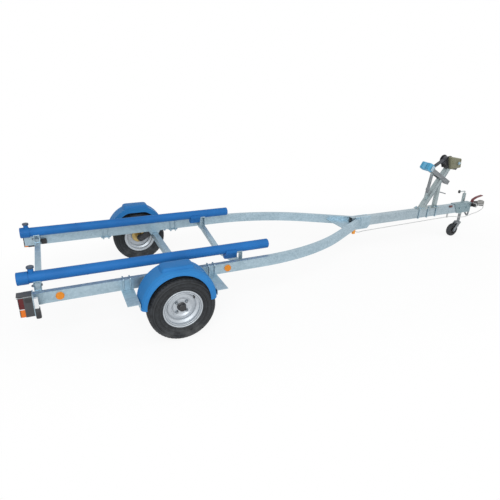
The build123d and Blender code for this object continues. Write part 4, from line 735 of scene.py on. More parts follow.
def smooth_line(points, count):
    """Points spread evenly along a broken line, with its corners eased by a running mean of five."""
    points = np.asarray(points, float)
    reach = np.concatenate([[0.0], np.cumsum(np.linalg.norm(np.diff(points, axis=0), axis=1))])
    even = np.linspace(0.0, reach[-1], count)
    line = np.stack([np.interp(even, reach, points[:, axis]) for axis in range(points.shape[1])], axis=1)
    padded = np.concatenate([line[:1]] * 2 + [line] + [line[-1:]] * 2)
    eased = sum(padded[shift:shift + count] for shift in range(5)) / 5
    eased[0], eased[-1] = line[0], line[-1]
    return eased


def full_section(half, count):
    """A section from its half: the half is eased, then mirrored across the wheel's middle."""
    half = smooth_line(half, count)
    return np.concatenate([half, (half * [-1.0, 1.0])[-2::-1]])


def dip(distance, width):
    """One at the middle of a groove, falling smoothly to nothing at its sides."""
    return np.clip(1.0 - np.abs(distance) / width, 0.0, 1.0) ** 0.5


def rise(distance, width):
    """Nothing before a place, rising evenly to one over a width past it."""
    return np.clip(distance / width, 0.0, 1.0)


def about_axle(x, y, z, radius, offset, angle):
    """Places round a line across the trailer through (x, y, z): a radius turned by an angle, and an offset
    along the line."""
    return at(x + radius * np.cos(angle), y + offset, z + radius * np.sin(angle))


def road_tyre(y):
    """A ring of (offset, radius) section carried round the axle. Four grooves run round the tread, slanted
    sipes cross its shoulders and blocks, and ridges and two bands of fine ribs run round the walls."""
    outside = full_section(TYRE_OUTSIDE, 62)
    inside = full_section(TYRE_INSIDE, 14)[::-1]
    section = np.concatenate([outside, inside])
    angle = around(TREAD_PITCHES * 8)[:, None]
    offset, radius = section[None, :, 0], section[None, :, 1]
    skin = (np.arange(len(section)) < len(outside))[None, :]
    tread = skin * rise(radius - TREAD_FOOT, TREAD_EASE)
    grooves = np.clip(sum(dip(offset - place, GROOVE_HALF) for place in TREAD_GROOVES), 0.0, 1.0)
    pitch = angle * TREAD_PITCHES / (2 * pi)
    sipe_place = (pitch + np.abs(offset) / SIPE_SLANT) % 1.0 - 0.5
    sipes = dip(sipe_place, SIPE_SHARE) * rise(np.abs(offset) - SHOULDER_START, CUT_EASE)
    block_place = (pitch + offset / BLOCK_SLANT) % 1.0 - 0.5
    blocks = dip(block_place, BLOCK_SHARE) * rise(BLOCK_HALF - np.abs(offset), CUT_EASE)
    cut = np.maximum(grooves * GROOVE_DEPTH, np.maximum(sipes * SIPE_DEPTH, blocks * BLOCK_DEPTH))
    ridges = sum(np.exp(-((radius - place) / RIDGE_WIDTH) ** 2) for place in WALL_RIDGES) * skin
    bands = sum(np.exp(-((radius - place) / width) ** 4) for place, width in RIB_BANDS)
    ribs = bands * skin * np.cos(2 * TREAD_PITCHES * angle)
    wide = offset + np.sign(offset) * (ridges * RIDGE_HEIGHT + ribs * RIB_HEIGHT)
    points = about_axle(0.0, y, WHEEL_RADIUS, radius - tread * cut, wide, angle)
    return grid(points, close_rows=True, close_columns=True)


def wheel_bolts(y):
    """Four bolts on the bolt circle: a tapered seat, a six-sided head and a domed end."""
    side = np.sign(y)
    outward = side * LEFT
    seat = [(0.0, 0.0), (0.0, 12.0), (2.0, 11.6), (4.5, 9.5), (4.5, 0.0)]
    dome = [(0.0, 8.2), (1.6, 7.4), (2.8, 5.0), (3.2, 0.0)]
    heads = []
    for angle in pi / 4 + around(4):
        start = about_axle(0.0, y, WHEEL_RADIUS, BOLT_CIRCLE, BOLT_SEAT * side, angle)
        heads.append(turned(seat, start, outward, sides=20))
        heads.append(hex_head(start + outward * 4.0 * MM, outward, wide=17.0, high=10.0))
        heads.append(turned(dome, start + outward * 13.6 * MM, outward, sides=16))
    return joined(*heads)


def tyre_valve(y):
    """The rubber valve in the rim's well, tapered, with a ribbed cap."""
    side = np.sign(y)
    ray = np.array([cos(VALVE_ANGLE), 0.0, sin(VALVE_ANGLE)])
    start = about_axle(0.0, y, WHEEL_RADIUS, VALVE_REACH, VALVE_SEAT * side, VALVE_ANGLE)
    lean = unit(0.92 * side * LEFT - 0.3 * ray)
    stem = [(0.0, 0.0), (0.0, 9.0), (3.0, 8.6), (7.0, 6.4), (22.0, 5.4), (22.5, 0.0)]
    cap = [(0.0, 0.0), (0.0, 5.8), (11.0, 5.6), (12.5, 4.4), (12.8, 0.0)]
    ribbed = turned(cap, start + lean * 22.0 * MM, lean, sides=24, flutes=12, depth=0.05)
    return joined(turned(stem, start, lean, sides=18), ribbed)


def hub_cap_rings(y):
    """The pressed steel cap over the hub's end: a foot on the disc, a stepped wall and a domed end."""
    side = np.sign(y)
    rings = [(0.0, 29.0), (0.0, 33.0), (3.0, 33.0), (5.0, 30.8), (6.5, 28.4), (8.0, 26.8), (26.5, 26.6),
             (29.5, 25.6), (31.6, 23.0), (32.8, 18.0), (33.4, 10.0), (33.6, 0.0)]
    return turned(rings, at(0.0, y + HUB_FACE * side, WHEEL_RADIUS), side * LEFT, sides=48)


def rim_beads(y):
    """The rim's rolled flange and the rings pressed into its disc: round beads carried round the axle."""
    angle = around(RIM_SIDES)
    paths = [(about_axle(0.0, y, WHEEL_RADIUS, radius, np.sign(y) * out, angle), size)
             for radius, out, size in RIM_BEADS]
    return joined(*[carried(path, size, closed=True) for path, size in paths])


def rim_groove_painted_shade(y):
    """The groove between the rim's two rolled beads: a shallow channel turned about the axle, whose
    darker steel is painted shade.
    """
    side = np.sign(y)
    channel = [(-0.5, 128.4), (0.3, 129.0), (0.3, 133.4), (-0.5, 134.0)]
    return turned(channel, at(0.0, y + RIM_FACE * side, WHEEL_RADIUS), side * LEFT, sides=RIM_SIDES)


for side_name, wheel_y in (("left", WHEEL_Y), ("right", -WHEEL_Y)):
    body = f"wheel_{side_name}"
    tyre = add_piece(f"road_tyre_{side_name}", road_tyre(wheel_y), "wheel_rubber", body, sharp=50.0)
    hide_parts(f"tyre_{side_name}")
    add_piece(f"wheel_bolts_{side_name}", wheel_bolts(wheel_y), "axle_steel", body)
    add_piece(f"tyre_valve_{side_name}", tyre_valve(wheel_y), "black_plastic", body)
    add_piece(f"hub_cap_{side_name}", hub_cap_rings(wheel_y), "black_steel", body)
    # The groove's darker steel is painted shade
    add_piece(f"rim_groove_painted_shade_{side_name}", rim_groove_painted_shade(wheel_y), "axle_steel", body)
    add_piece(f"rim_beads_{side_name}", rim_beads(wheel_y), "rim_silver", body)


# Chassis

U_BOLT_STATIONS = (-353.3, -307.3, 267.3, 313.3)
U_BOLT_LEGS = (512.7, 567.3)
SHELF_BOTTOM = RAIL_BOTTOM - 4.0
POST_BOLT_STATIONS = (2912.0, 3038.0, 3164.0)
POST_BOLT_LEGS = (-30.3, 30.3)
U_BOLT_TAIL = 8.0
MEMBER_HALF = 20.5
GUSSET_REAR = 2042.0
GUSSET_FRONT = 2228.0
GUSSET_TOP = 441.6
PLATE_END = 2230.0
PLATE_BOTTOM = 343.0
PLATE_TOP = 440.0
SADDLE_BOLT_STATIONS = (80.0, 144.0)
SADDLE_BOLT_Z = 338.0
PLUG_STATIONS = (-988.0, -983.0)
BOX_X = -837.0
BOX_Z = 377.0
CLIP_Z = 358.0
SLEEVE_JOINT_X = -571.0
BUNK_Z = 495.0
STRUT_FOOT = np.array([2988.0, 0.0, 530.0])
STRUT_HEAD = np.array([3022.0, 0.0, 850.0])
STRUT_SLEEVE = (84.0, 286.0)
STRUT_COLLAR = (112.0, 140.0)
BOW_FORK = np.array([2962.0, 0.0, 884.0])
BOW_SLOPE = radians(29.5)
MAST_LEAN = radians(33.0)
MAST_SIDE = 25.6
MAST_STRIPS = (-21.4, 21.4)
MAST_STRIP_ENDS = (38.0, 470.0)
CATCH_X = 3392.0
CATCH_Z = 427.0
CATCH_SIDES = (-24.6, -35.0)


def leaning(angle):
    """The two directions of a plate or tube in the middle plane that leans forward by an angle: up it and
    ahead of it."""
    return np.array([sin(angle), 0.0, cos(angle)]), np.array([cos(angle), 0.0, -sin(angle)])


def rail_nuts():
    """Two nuts under the bracket shelf for each U-bolt over a rail."""
    places = [at(x, y, SHELF_BOTTOM) for x in U_BOLT_STATIONS for y in U_BOLT_LEGS]
    return mirrored(*[nut(place, -UP, U_BOLT_TAIL) for place in places])


def post_nuts():
    """Two nuts on the winch post's base plate for each U-bolt under the drawbar."""
    places = [at(x, y, POST_TOP) for x in POST_BOLT_STATIONS for y in POST_BOLT_LEGS]
    return joined(*[nut(place, UP, U_BOLT_TAIL) for place in places])


def chassis_welds():
    """Beads where the cross-members meet the rails, round the feet of the mast and the brace, and along
    the junction's plates and gusset."""
    rings = [ring_path(at(x, side * (RAIL_INNER - 1.0), RAIL_MIDDLE), MEMBER_HALF * AHEAD, MEMBER_HALF * UP)
             for x in (REAR_MEMBER_X, FRONT_MEMBER_X) for side in (-1, 1)]
    rings += [ring_path(at(x, 0.0, POST_TOP + 1.0), long * AHEAD, wide * LEFT)
              for x, long, wide in ((MAST_X, 30.4, 25.6), (BRACE_X, 19.6, 19.6))]
    beads = [weld_bead(ring, 3.0, closed=True) for ring in rings]
    for side in (-1, 1):
        plate = [at(PLATE_END, side * 25.6, z) for z in (PLATE_BOTTOM, PLATE_TOP)]
        gusset = [at(x, side * 26.0, GUSSET_TOP) for x in (GUSSET_REAR, GUSSET_FRONT)]
        beads.append(weld_bead(straight(*plate), 3.2))
        beads.append(weld_bead(straight(*gusset), 2.8))
    return joined(*beads)


def saddle_bolts():
    """Bolt heads on the outer faces of the axle saddles."""
    places = [at(x, RAIL_OUTER, SADDLE_BOLT_Z) for x in SADDLE_BOLT_STATIONS]
    return mirrored(*[hex_head(place, LEFT, wide=17.0, high=8.0, washer=2.0) for place in places])


def bunk_saddle_bolts():
    """Bolts through the cheeks of the bunk saddles: heads in front, nuts behind the rear pair."""
    places = [at(REAR_MEMBER_X + 22.0, BUNK_Y, 431.0), at(FRONT_MEMBER_X + 25.0, BUNK_Y, 436.0)]
    heads = [hex_head(place, AHEAD, wide=15.0, high=7.0, washer=2.0) for place in places]
    return mirrored(*heads, nut(at(REAR_MEMBER_X - 22.0, BUNK_Y, 431.0), -AHEAD, 6.0))


def rail_end_plugs():
    """Black plugs in the rear ends of the rails: rounded plates with a drawn-in rim."""
    faces = [at(x, (RAIL_INNER + RAIL_OUTER) / 2, RAIL_MIDDLE) for x in PLUG_STATIONS]
    return mirrored(rounded_bar(*faces, 19.4 * LEFT, 39.4 * UP, ease=2.2, power=9.0))


def wiring_boxes():
    """The junction box on the left rail's inner face, and the clip under the rear cross-member beside it."""
    box = [at(BOX_X, y, BOX_Z) for y in (RAIL_INNER - 19.0, RAIL_INNER + 0.6)]
    clip = [at(REAR_MEMBER_X, y, CLIP_Z) for y in (RAIL_INNER - 48.0, RAIL_INNER - 10.0)]
    return joined(rounded_bar(*box, 22.0 * AHEAD, 22.0 * UP, ease=3.0),
                  rounded_bar(*clip, 16.0 * AHEAD, 11.6 * UP, ease=3.0))


def strut_sleeve():
    """The dark sleeve over the upright strut behind the mast, and the collar that holds it."""
    up = unit(STRUT_HEAD - STRUT_FOOT)
    side = np.array([up[2], 0.0, -up[0]])
    sleeve = [at(*(STRUT_FOOT + up * reach)) for reach in STRUT_SLEEVE]
    collar = [at(*(STRUT_FOOT + up * reach)) for reach in STRUT_COLLAR]
    return joined(rounded_bar(*sleeve, 12.9 * side, 12.9 * LEFT, ease=1.0, power=9.0),
                  rounded_bar(*collar, 16.5 * side, 16.5 * LEFT, ease=2.0, power=6.0))


def bow_fork_covers():
    """Zinc plates on the cheeks of the bow stop's fork: rounded rectangles in the bow arm's slope."""
    up, along = leaning(BOW_SLOPE)
    middle = BOW_FORK - 20.0 * along
    faces = [at(*(middle + y * LEFT)) for y in (61.0, 63.0)]
    return mirrored(rounded_bar(*faces, 20.4 * along, 28.4 * up, ease=0.8, power=8.0))


def bunk_joints():
    """The joint in each bunk's sleeve: a low ring with rounded edges."""
    ring = [(-3.2, 37.2), (-3.0, 38.1), (-2.0, 38.6), (2.0, 38.6), (3.0, 38.1), (3.2, 37.2)]
    return mirrored(turned(ring, at(SLEEVE_JOINT_X, BUNK_Y, BUNK_Z), AHEAD, sides=64))


def mast_edge_strips():
    """The folded edges along the mast's side faces: two flat strips on each, drawn in at their ends."""
    up, ahead = leaning(MAST_LEAN)
    foot = np.array([MAST_X, MAST_SIDE, POST_TOP])
    strips = []
    for reach in MAST_STRIPS:
        ends = [at(*(foot + ahead * reach + up * height)) for height in MAST_STRIP_ENDS]
        strips.append(rounded_bar(*ends, 3.4 * ahead, 1.6 * LEFT, ease=1.0, power=6.0))
    return mirrored(*strips)


def drawbar_catch():
    """The small dark red catch on the drawbar's right side: a rounded block with a raised rib."""
    root, face = [at(CATCH_X, y, CATCH_Z) for y in CATCH_SIDES]
    rib = straight(face - 16.0 * MM * AHEAD, face + 16.0 * MM * AHEAD)
    return joined(rounded_bar(root, face, 23.0 * AHEAD, 12.0 * UP, ease=3.0, power=5.0),
                  carried(rib, 3.4, sides=12))


add_piece("rail_u_bolt_nuts", rail_nuts(), "galvanised")
add_piece("post_u_bolt_nuts", post_nuts(), "galvanised")
add_piece("chassis_welds", chassis_welds(), "galvanised", sharp=60.0)
add_piece("saddle_bolts", saddle_bolts(), "galvanised")
add_piece("bunk_saddle_bolts", bunk_saddle_bolts(), "axle_steel")
add_piece("rail_end_plugs", rail_end_plugs(), "black_plastic")
add_piece("wiring_boxes", wiring_boxes(), "black_plastic")
add_piece("strut_sleeve", strut_sleeve(), "grey_steel")
add_piece("bow_fork_covers", bow_fork_covers(), "galvanised")
add_piece("bunk_joints", bunk_joints(), "bunk_blue")
add_piece("mast_edge_strips", mast_edge_strips(), "axle_steel")
add_piece("drawbar_catch", drawbar_catch(), "red_grip", finish="catch_red")


# Mudguard trim

GUARD_X = -20.0
GUARD_Z = 294.0
GUARD_RADIUS = 268.0
CROWN_ARC = 120.0
CROWN_ARC_X = 62.8
CROWN_ARC_Z = 134.0
OPENING_X = -28.0
OPENING_RADIUS = 224.0
EDGE_POINTS = 90
EDGE_Y = 811.2
EDGE_RADIUS = 2.6
RIB_Y = 798.4
RIB_INSET = 17.8
RIB_RADIUS = 9.0
STEP_Y = 717.0
STEP_HALF_LENGTH = 118.0
STEP_HALF_WIDTH = 63.0
STEP_TOP = 568.0
STEP_SINK = 2.0
STEP_END_SLOPE = 2.2
GUARD_BOLT_Z = 327.0
GUARD_BOLT_ENDS = ((-292.3, -AHEAD), (252.3, AHEAD))
GUARD_BOLT_LEGS = (690.0, 770.0)


def guard_line(inset):
    """A mudguard's side outline moved inwards: a round, an eased arc to the flat crown, then the same
    mirrored."""
    low = np.radians(np.linspace(2.0, 64.9, 40))
    high = np.radians(np.linspace(66.0, 90.0, 16))
    round_part = (GUARD_RADIUS - inset) * np.stack([np.cos(low), np.sin(low)], axis=1)
    eased_part = (CROWN_ARC - inset) * np.stack([np.cos(high), np.sin(high)], axis=1)
    front = np.concatenate([round_part, eased_part + [CROWN_ARC_X, CROWN_ARC_Z]])
    return np.concatenate([front, (front * [-1.0, 1.0])[::-1]]) + [GUARD_X, GUARD_Z]


def guard_ribs():
    """The rib along the shoulder of each mudguard: a round bead on the outline, tapered at its ends."""
    line = guard_line(RIB_INSET)
    size = np.full(len(line), RIB_RADIUS)
    size[:2] = size[-2:] = 4.0
    return mirrored(carried(at(line[:, 0], RIB_Y, line[:, 1]), size, sides=14))


def guard_inner_lips():
    """The inner lip of each mudguard: a thin section of (inset, place across) with a rounded foot, carried
    along the outline."""
    section = [(15.0, 643.6), (41.0, 643.6), (43.4, 643.0), (44.4, 641.6), (43.4, 640.2), (41.0, 640.2),
               (15.0, 640.2)]
    lines = [(guard_line(inset), y) for inset, y in section]
    points = np.stack([at(line[:, 0], y, line[:, 1]) for line, y in lines], axis=1)
    return mirrored(grid(points, close_columns=True))


def guard_edge():
    """The rolled edge of the skirt's opening: a round bead along a half circle."""
    angle = np.radians(np.linspace(1.5, 178.5, EDGE_POINTS))
    size = np.full(EDGE_POINTS, EDGE_RADIUS)
    size[0] = size[-1] = 0.3
    path = about_axle(OPENING_X, EDGE_Y, GUARD_Z, OPENING_RADIUS + 1.5, 0.0, angle)
    return mirrored(carried(path, size))


def step_pads():
    """The raised step on each mudguard: rings of a rounded rectangle go from the middle of the underside
    out along the crown, which falls away as an arc, up the sloping wall and over a rounded edge to the
    middle of the top."""
    share = np.array([0.0, 0.3, 0.6, 0.85, 1.0, 1.0, 1.0, 1.0, 1.0, 0.0])[:, None]
    inset = np.array([0.0, 0.0, 0.0, 0.0, 0.0, 4.0, 6.5, 10.0, 15.0, 0.0])[:, None]
    drop = np.array([9.0, 4.2, 1.2, 0.0, 0.0])[:, None]
    u, v = rounded_sides(around(120), 8.0)
    x = share * (STEP_HALF_LENGTH - STEP_END_SLOPE * inset) * u
    y = share * (STEP_HALF_WIDTH - inset) * v
    past_flat = np.clip(np.abs(x[:-len(drop)]) - CROWN_ARC_X, 0.0, None)
    under = GUARD_Z + CROWN_ARC_Z + np.sqrt(CROWN_ARC ** 2 - past_flat ** 2) - STEP_SINK
    over = np.broadcast_to(STEP_TOP - drop, under.shape)
    points = at(GUARD_X + x, STEP_Y + y, np.concatenate([under, over]))
    return mirrored(grid(points, close_columns=True))


def guard_bolts():
    """Domed bolts through the bracket tabs at the front and rear of each mudguard."""
    dome = [(0.0, 0.0), (0.0, 9.5), (1.5, 9.5), (1.5, 7.5), (4.0, 6.6), (5.6, 4.0), (6.0, 0.0)]
    return mirrored(*[turned(dome, at(x, y, GUARD_BOLT_Z), way, sides=20)
                      for x, way in GUARD_BOLT_ENDS for y in GUARD_BOLT_LEGS])


add_piece("mudguard_edges", guard_edge(), "mudguard_blue")
# The step pads take the darker blue, painted shade on their tops
add_piece("mudguard_step_pads", step_pads(), "mudguard_blue", finish="step_blue_painted_shade")
add_piece("mudguard_ribs", guard_ribs(), "mudguard_blue")
add_piece("mudguard_inner_lips", guard_inner_lips(), "mudguard_blue")
add_piece("mudguard_bolts", guard_bolts(), "galvanised")


# Lamps and reflectors

LAMP_REAR = -995.0
LAMP_MIDDLE = 603.0
LAMP_INNER = 565.0
LAMP_OUTER = 642.0
SCREW_REACH = 21.0
SCREW_INSET = 10.0
VISOR_STATIONS = (-1001.0, -918.0)
VISOR_Z = 457.5
DIVIDER_X = -980.0
GROMMET_X = -939.0
GROMMET_Z = 432.0
MARKER_X = -896.0
MARKER_Y = 628.0
MARKER_HEIGHTS = (292.0, 346.0)
AMBER_HEIGHTS = (319.0, 373.0)
RED_HEIGHTS = (377.0, 455.0)
REFLECTOR_STATIONS = (-759.0, 421.0)


def lamp_screws():
    """Screw heads at the corners of each tail lamp's lenses: a low dome."""
    head = [(0.0, 0.0), (0.0, 4.2), (1.2, 4.0), (2.2, 2.6), (2.4, 0.0)]
    heights = [z for low, high in (AMBER_HEIGHTS, RED_HEIGHTS)
               for z in (low + SCREW_INSET, high - SCREW_INSET)]
    places = [at(LAMP_REAR + 0.4, LAMP_MIDDLE + out, z) for out in (-SCREW_REACH, SCREW_REACH)
              for z in heights]
    return mirrored(*[turned(head, place, -AHEAD, sides=14) for place in places])


def lamp_bezels():
    """Rounded beads round the amber and the red lens of each tail lamp."""
    beads = []
    for low, high in (AMBER_HEIGHTS, RED_HEIGHTS):
        half = (high - low) / 2
        centre = at(LAMP_REAR + 1.0, LAMP_MIDDLE, low + half)
        beads.append(carried(ring_path(centre, 37.6 * LEFT, (half - 1.4) * UP, power=9.0), 2.2, closed=True))
    return mirrored(*beads)


def lamp_visor_edges():
    """The pale moulded edge along the outer side of each lamp's visor."""
    ends = [at(x, LAMP_OUTER + 0.6, VISOR_Z) for x in VISOR_STATIONS]
    return mirrored(rounded_bar(*ends, 1.2 * LEFT, 3.2 * UP, ease=1.0, power=4.0))


def lamp_grommets():
    """Black details on the lamps: a grommet on each housing's outer side and the bulb of each marker's
    foot."""
    grommet = [at(GROMMET_X, y, GROMMET_Z) for y in (LAMP_OUTER - 1.0, LAMP_OUTER + 2.0)]
    bulb = [at(MARKER_X, MARKER_Y, z) for z in MARKER_HEIGHTS]
    return mirrored(rounded_bar(*grommet, 17.0 * AHEAD, 14.0 * UP, ease=1.2, power=5.0),
                    rounded_bar(*bulb, 16.4 * AHEAD, 15.6 * LEFT, ease=6.0, power=3.4))


def lamp_dividers():
    """The pale strip between the two lenses of each tail lamp."""
    z = (AMBER_HEIGHTS[1] + RED_HEIGHTS[0]) / 2
    ends = [at(DIVIDER_X, y, z) for y in (LAMP_INNER, LAMP_OUTER - 0.2)]
    return mirrored(rounded_bar(*ends, 14.6 * AHEAD, 1.7 * UP, ease=1.0, power=6.0))


def reflector_rims():
    """Rims round the side reflectors: a ring of flattened round section."""
    rim = [(0.0, 23.0), (0.0, 26.4), (6.0, 26.4), (7.8, 25.6), (8.2, 24.4), (6.8, 23.0)]
    places = [at(x, RAIL_OUTER, RAIL_MIDDLE) for x in REFLECTOR_STATIONS]
    return mirrored(*[turned(rim, place, LEFT, sides=40) for place in places])


add_piece("tail_lamp_screws", lamp_screws(), "galvanised")
add_piece("tail_lamp_bezels", lamp_bezels(), "black_plastic", finish="lamp_grey")
add_piece("tail_lamp_dividers", lamp_dividers(), "clear_lens")
add_piece("tail_lamp_visor_edges", lamp_visor_edges(), "grey_steel")
add_piece("tail_lamp_grommets", lamp_grommets(), "black_plastic")
add_piece("side_reflector_rims", reflector_rims(), "amber_lens", finish="reflector_amber")


# Winch

WINCH_FOOT = (3230.3, 871.0)
WINCH_TILT = radians(10.0)
DRUM_SHAFT = (-56.0, 80.0)
HANDLE_SHAFT = (48.0, 76.0)
GEAR_SHAFT = (-28.0, 78.0)
COVER_SCREWS = ((-19.0, 18.0), (90.0, 46.0), (68.0, 112.0), (-76.0, 112.0))
COVER_FACE = -79.6
BOSS_FACE = -79.8
SHAFT_FACE = -87.0
FRAME_LEFT = 46.0
DRUM_HALF = 25.0
DRUM_CORE = 20.0
STRAP_RADIUS = 41.0


def winch_at(along, y, up):
    """A place on the tilted winch, from the middle of its base."""
    x = WINCH_FOOT[0] + along * cos(WINCH_TILT) + up * sin(WINCH_TILT)
    return at(x, y, WINCH_FOOT[1] - along * sin(WINCH_TILT) + up * cos(WINCH_TILT))


def winch_places(places, y):
    """Places on one side of the winch, from pairs of distance along it and height."""
    return [winch_at(along, y, up) for along, up in places]


def winch_cover_boss():
    """The bearing bosses on the gear cover."""
    boss = [(0.0, 0.0), (0.0, 26.0), (3.0, 26.0), (4.5, 23.0), (4.5, 15.0), (8.0, 13.5), (8.0, 0.0)]
    places = winch_places((HANDLE_SHAFT, GEAR_SHAFT), BOSS_FACE)
    return joined(*[turned(boss, place, -LEFT, sides=36) for place in places])


def winch_shaft_end():
    """The bright end of the handle's shaft: a stub with a chamfered tip and a six-sided nut."""
    stub = [(0.0, 0.0), (0.0, 8.0), (13.0, 8.0), (14.5, 6.5), (14.5, 0.0)]
    start = winch_at(HANDLE_SHAFT[0], SHAFT_FACE, HANDLE_SHAFT[1])
    return joined(turned(stub, start, -LEFT, sides=24),
                  hex_head(start, -LEFT, wide=24.0, high=8.0, washer=1.5))


def winch_cover_screws():
    """Screws near the cover's corners."""
    places = winch_places(COVER_SCREWS, COVER_FACE)
    return joined(*[hex_head(place, -LEFT, wide=10.0, high=4.0, washer=1.2) for place in places])


def winch_left_nuts():
    """The nuts of the drum's and the handle's shafts on the winch frame's left side."""
    places = winch_places((DRUM_SHAFT, HANDLE_SHAFT), FRAME_LEFT)
    return joined(*[nut(place, LEFT, 6.0) for place in places])


def wound_strap():
    """The strap's turns on the drum: layers seen edge on, as a ripple of the radius along the drum."""
    width = np.linspace(-DRUM_HALF, DRUM_HALF, 41)
    radius = STRAP_RADIUS + 0.5 * np.cos(width * 0.9) - 1.6 * (np.abs(width) / DRUM_HALF) ** 6
    profile = np.stack([width + DRUM_HALF, radius], axis=1)
    profile = np.concatenate([[(0.0, DRUM_CORE)], profile, [(2 * DRUM_HALF, DRUM_CORE)]])
    start = winch_at(DRUM_SHAFT[0], -DRUM_HALF, DRUM_SHAFT[1])
    return turned(profile, start, LEFT, sides=64, flutes=3, depth=0.008)


add_piece("winch_cover_boss", winch_cover_boss(), "olive_steel")
add_piece("winch_cover_screws", winch_cover_screws(), "olive_steel")
add_piece("winch_shaft_end", winch_shaft_end(), "galvanised")
add_piece("winch_left_nuts", winch_left_nuts(), "galvanised")
add_piece("wound_strap", wound_strap(), "strap_webbing")


# Coupling and jockey wheel

SLEEVE_BOLT_STATIONS = (3545.0, 3650.0)
SLEEVE_BOLT_Z = 391.0
SLEEVE_SIDE = 31.3
GAITER_X = 3722.0
GAITER_LENGTH = 118.0
GAITER_RADIUS = 30.0
GAITER_WALL = 2.0
GAITER_RIPPLES = 9
SCRAPER_RADIUS = 84.0
SCRAPER_POINTS = 24
FORK_SIDE = 33.0
WEB_STATIONS = (3684.0, 3687.0)
WEB_Z = 159.4
SMALL_TYRE_HALF = [
    (21.5, 50.2), (23.0, 53.0), (23.0, 62.0), (21.5, 69.0), (18.0, 74.0), (12.0, 77.0), (0.0, 78.0),
]
SMALL_TYRE_GROOVES = (-8.0, 8.0)
GRIP_X = 3619.0
GRIP_Z = 534.0
GRIP_HEIGHT = 38.0
GRIP_RADIUS = 13.4
CLAMP_SCREW_X = 3741.0
CLAMP_BAR_X = 3777.0
CLAMP_BAR_ENDS = ((44.0, 384.0), (124.0, 394.0))


def sleeve_bolts():
    """Two bolts through the coupling sleeve and drawbar, heads on the right and nuts on the left."""
    heads = []
    for x in SLEEVE_BOLT_STATIONS:
        right, left = [at(x, y, SLEEVE_BOLT_Z) for y in (-SLEEVE_SIDE, SLEEVE_SIDE)]
        heads.append(hex_head(right, -LEFT, wide=19.0, high=8.0, washer=2.0))
        heads.append(nut(left, LEFT, 6.0))
    return joined(*heads)


def neck_gaiter():
    """The black rubber gaiter on the coupling's neck: a sleeve whose radius ripples along it and closes at
    its ends."""
    reach = np.linspace(0.0, 1.0, 73)
    radius = GAITER_RADIUS + 0.7 * np.cos(reach * 2 * pi * GAITER_RIPPLES)
    profile = np.stack([reach * GAITER_LENGTH, radius], axis=1)
    inner = GAITER_RADIUS - GAITER_WALL
    profile = np.concatenate([[(0.0, inner)], profile, [(GAITER_LENGTH, inner)]])
    return turned(profile, at(GAITER_X, 0.0, NECK_Z), AHEAD, sides=48)


def fork_scraper():
    """The plates between the jockey fork's legs: a thin section of (radius, place across) carried round the
    small wheel's axle and closed at its ends, and an upright web under the crown."""
    angle = np.linspace(27.0, 80.0, SCRAPER_POINTS)
    angle = np.radians(np.concatenate([angle[:1], angle, angle[-1:]]))[:, None]
    shown = np.array([0.0] + [1.0] * SCRAPER_POINTS + [0.0])[:, None]
    section = np.array([(-1.4, -26.0), (1.4, -27.0), (1.4, 27.0), (-1.4, 26.0)])
    points = about_axle(*JOCKEY_AXLE, SCRAPER_RADIUS + section[:, 0] * shown, section[:, 1] * shown, angle)
    faces = [at(x, JOCKEY_Y, WEB_Z) for x in WEB_STATIONS]
    web = rounded_bar(*faces, 27.4 * LEFT, 9.4 * UP, ease=0.8, power=8.0)
    return joined(grid(points, close_columns=True), web)


def jockey_tyre():
    """The small solid tyre: a rounded section carried round its axle, with two shallow grooves."""
    section = np.concatenate([full_section(SMALL_TYRE_HALF, 30), [(-18.0, 50.2), (18.0, 50.2)]])
    offset, radius = section[None, :, 0], section[None, :, 1]
    groove = sum(dip(offset - place, 2.2) for place in SMALL_TYRE_GROOVES) * (radius > 70.0)
    points = about_axle(*JOCKEY_AXLE, radius - 2.0 * groove, offset, around(96)[:, None])
    return grid(points, close_rows=True, close_columns=True)


def jockey_axle_ends():
    """The nut and the bolt head of the jockey wheel's axle, outside its fork."""
    right, left = [at(*JOCKEY_AXLE) + out * MM * LEFT for out in (-FORK_SIDE, FORK_SIDE)]
    return joined(hex_head(right, -LEFT, wide=19.0, high=8.0, washer=2.0), nut(left, LEFT, 5.0))


def crank_knob():
    """The crank's grip: an upright barrel turned about the crank's end, with twelve shallow flutes."""
    reach = np.linspace(0.0, 1.0, 28)
    radius = GRIP_RADIUS * np.sqrt(np.clip(1.0 - (2.0 * reach - 1.0) ** 4, 0.0, 1.0))
    profile = np.stack([reach * GRIP_HEIGHT, radius], axis=1)
    return turned(profile, at(GRIP_X, JOCKEY_Y, GRIP_Z), UP, sides=72, flutes=12, depth=0.03)


def clamp_screw():
    """The jockey clamp's screw with its sliding bar, in front of the clamp."""
    screw = [(0.0, 0.0), (0.0, 10.0), (6.0, 10.0), (6.0, 6.0), (30.0, 6.0), (30.0, 8.0), (42.0, 8.0),
             (43.5, 6.5), (43.5, 0.0)]
    bar = straight(*[at(CLAMP_BAR_X, y, z) for y, z in CLAMP_BAR_ENDS])
    knobs = [straight(at(CLAMP_BAR_X, y - 4.0, z - 0.5), at(CLAMP_BAR_X, y + 4.0, z + 0.5))
             for y, z in CLAMP_BAR_ENDS]
    return joined(turned(screw, at(CLAMP_SCREW_X, JOCKEY_Y, RAIL_MIDDLE), AHEAD, sides=24),
                  carried(bar, 4.0, sides=12), *[carried(knob, 6.0, sides=14) for knob in knobs])


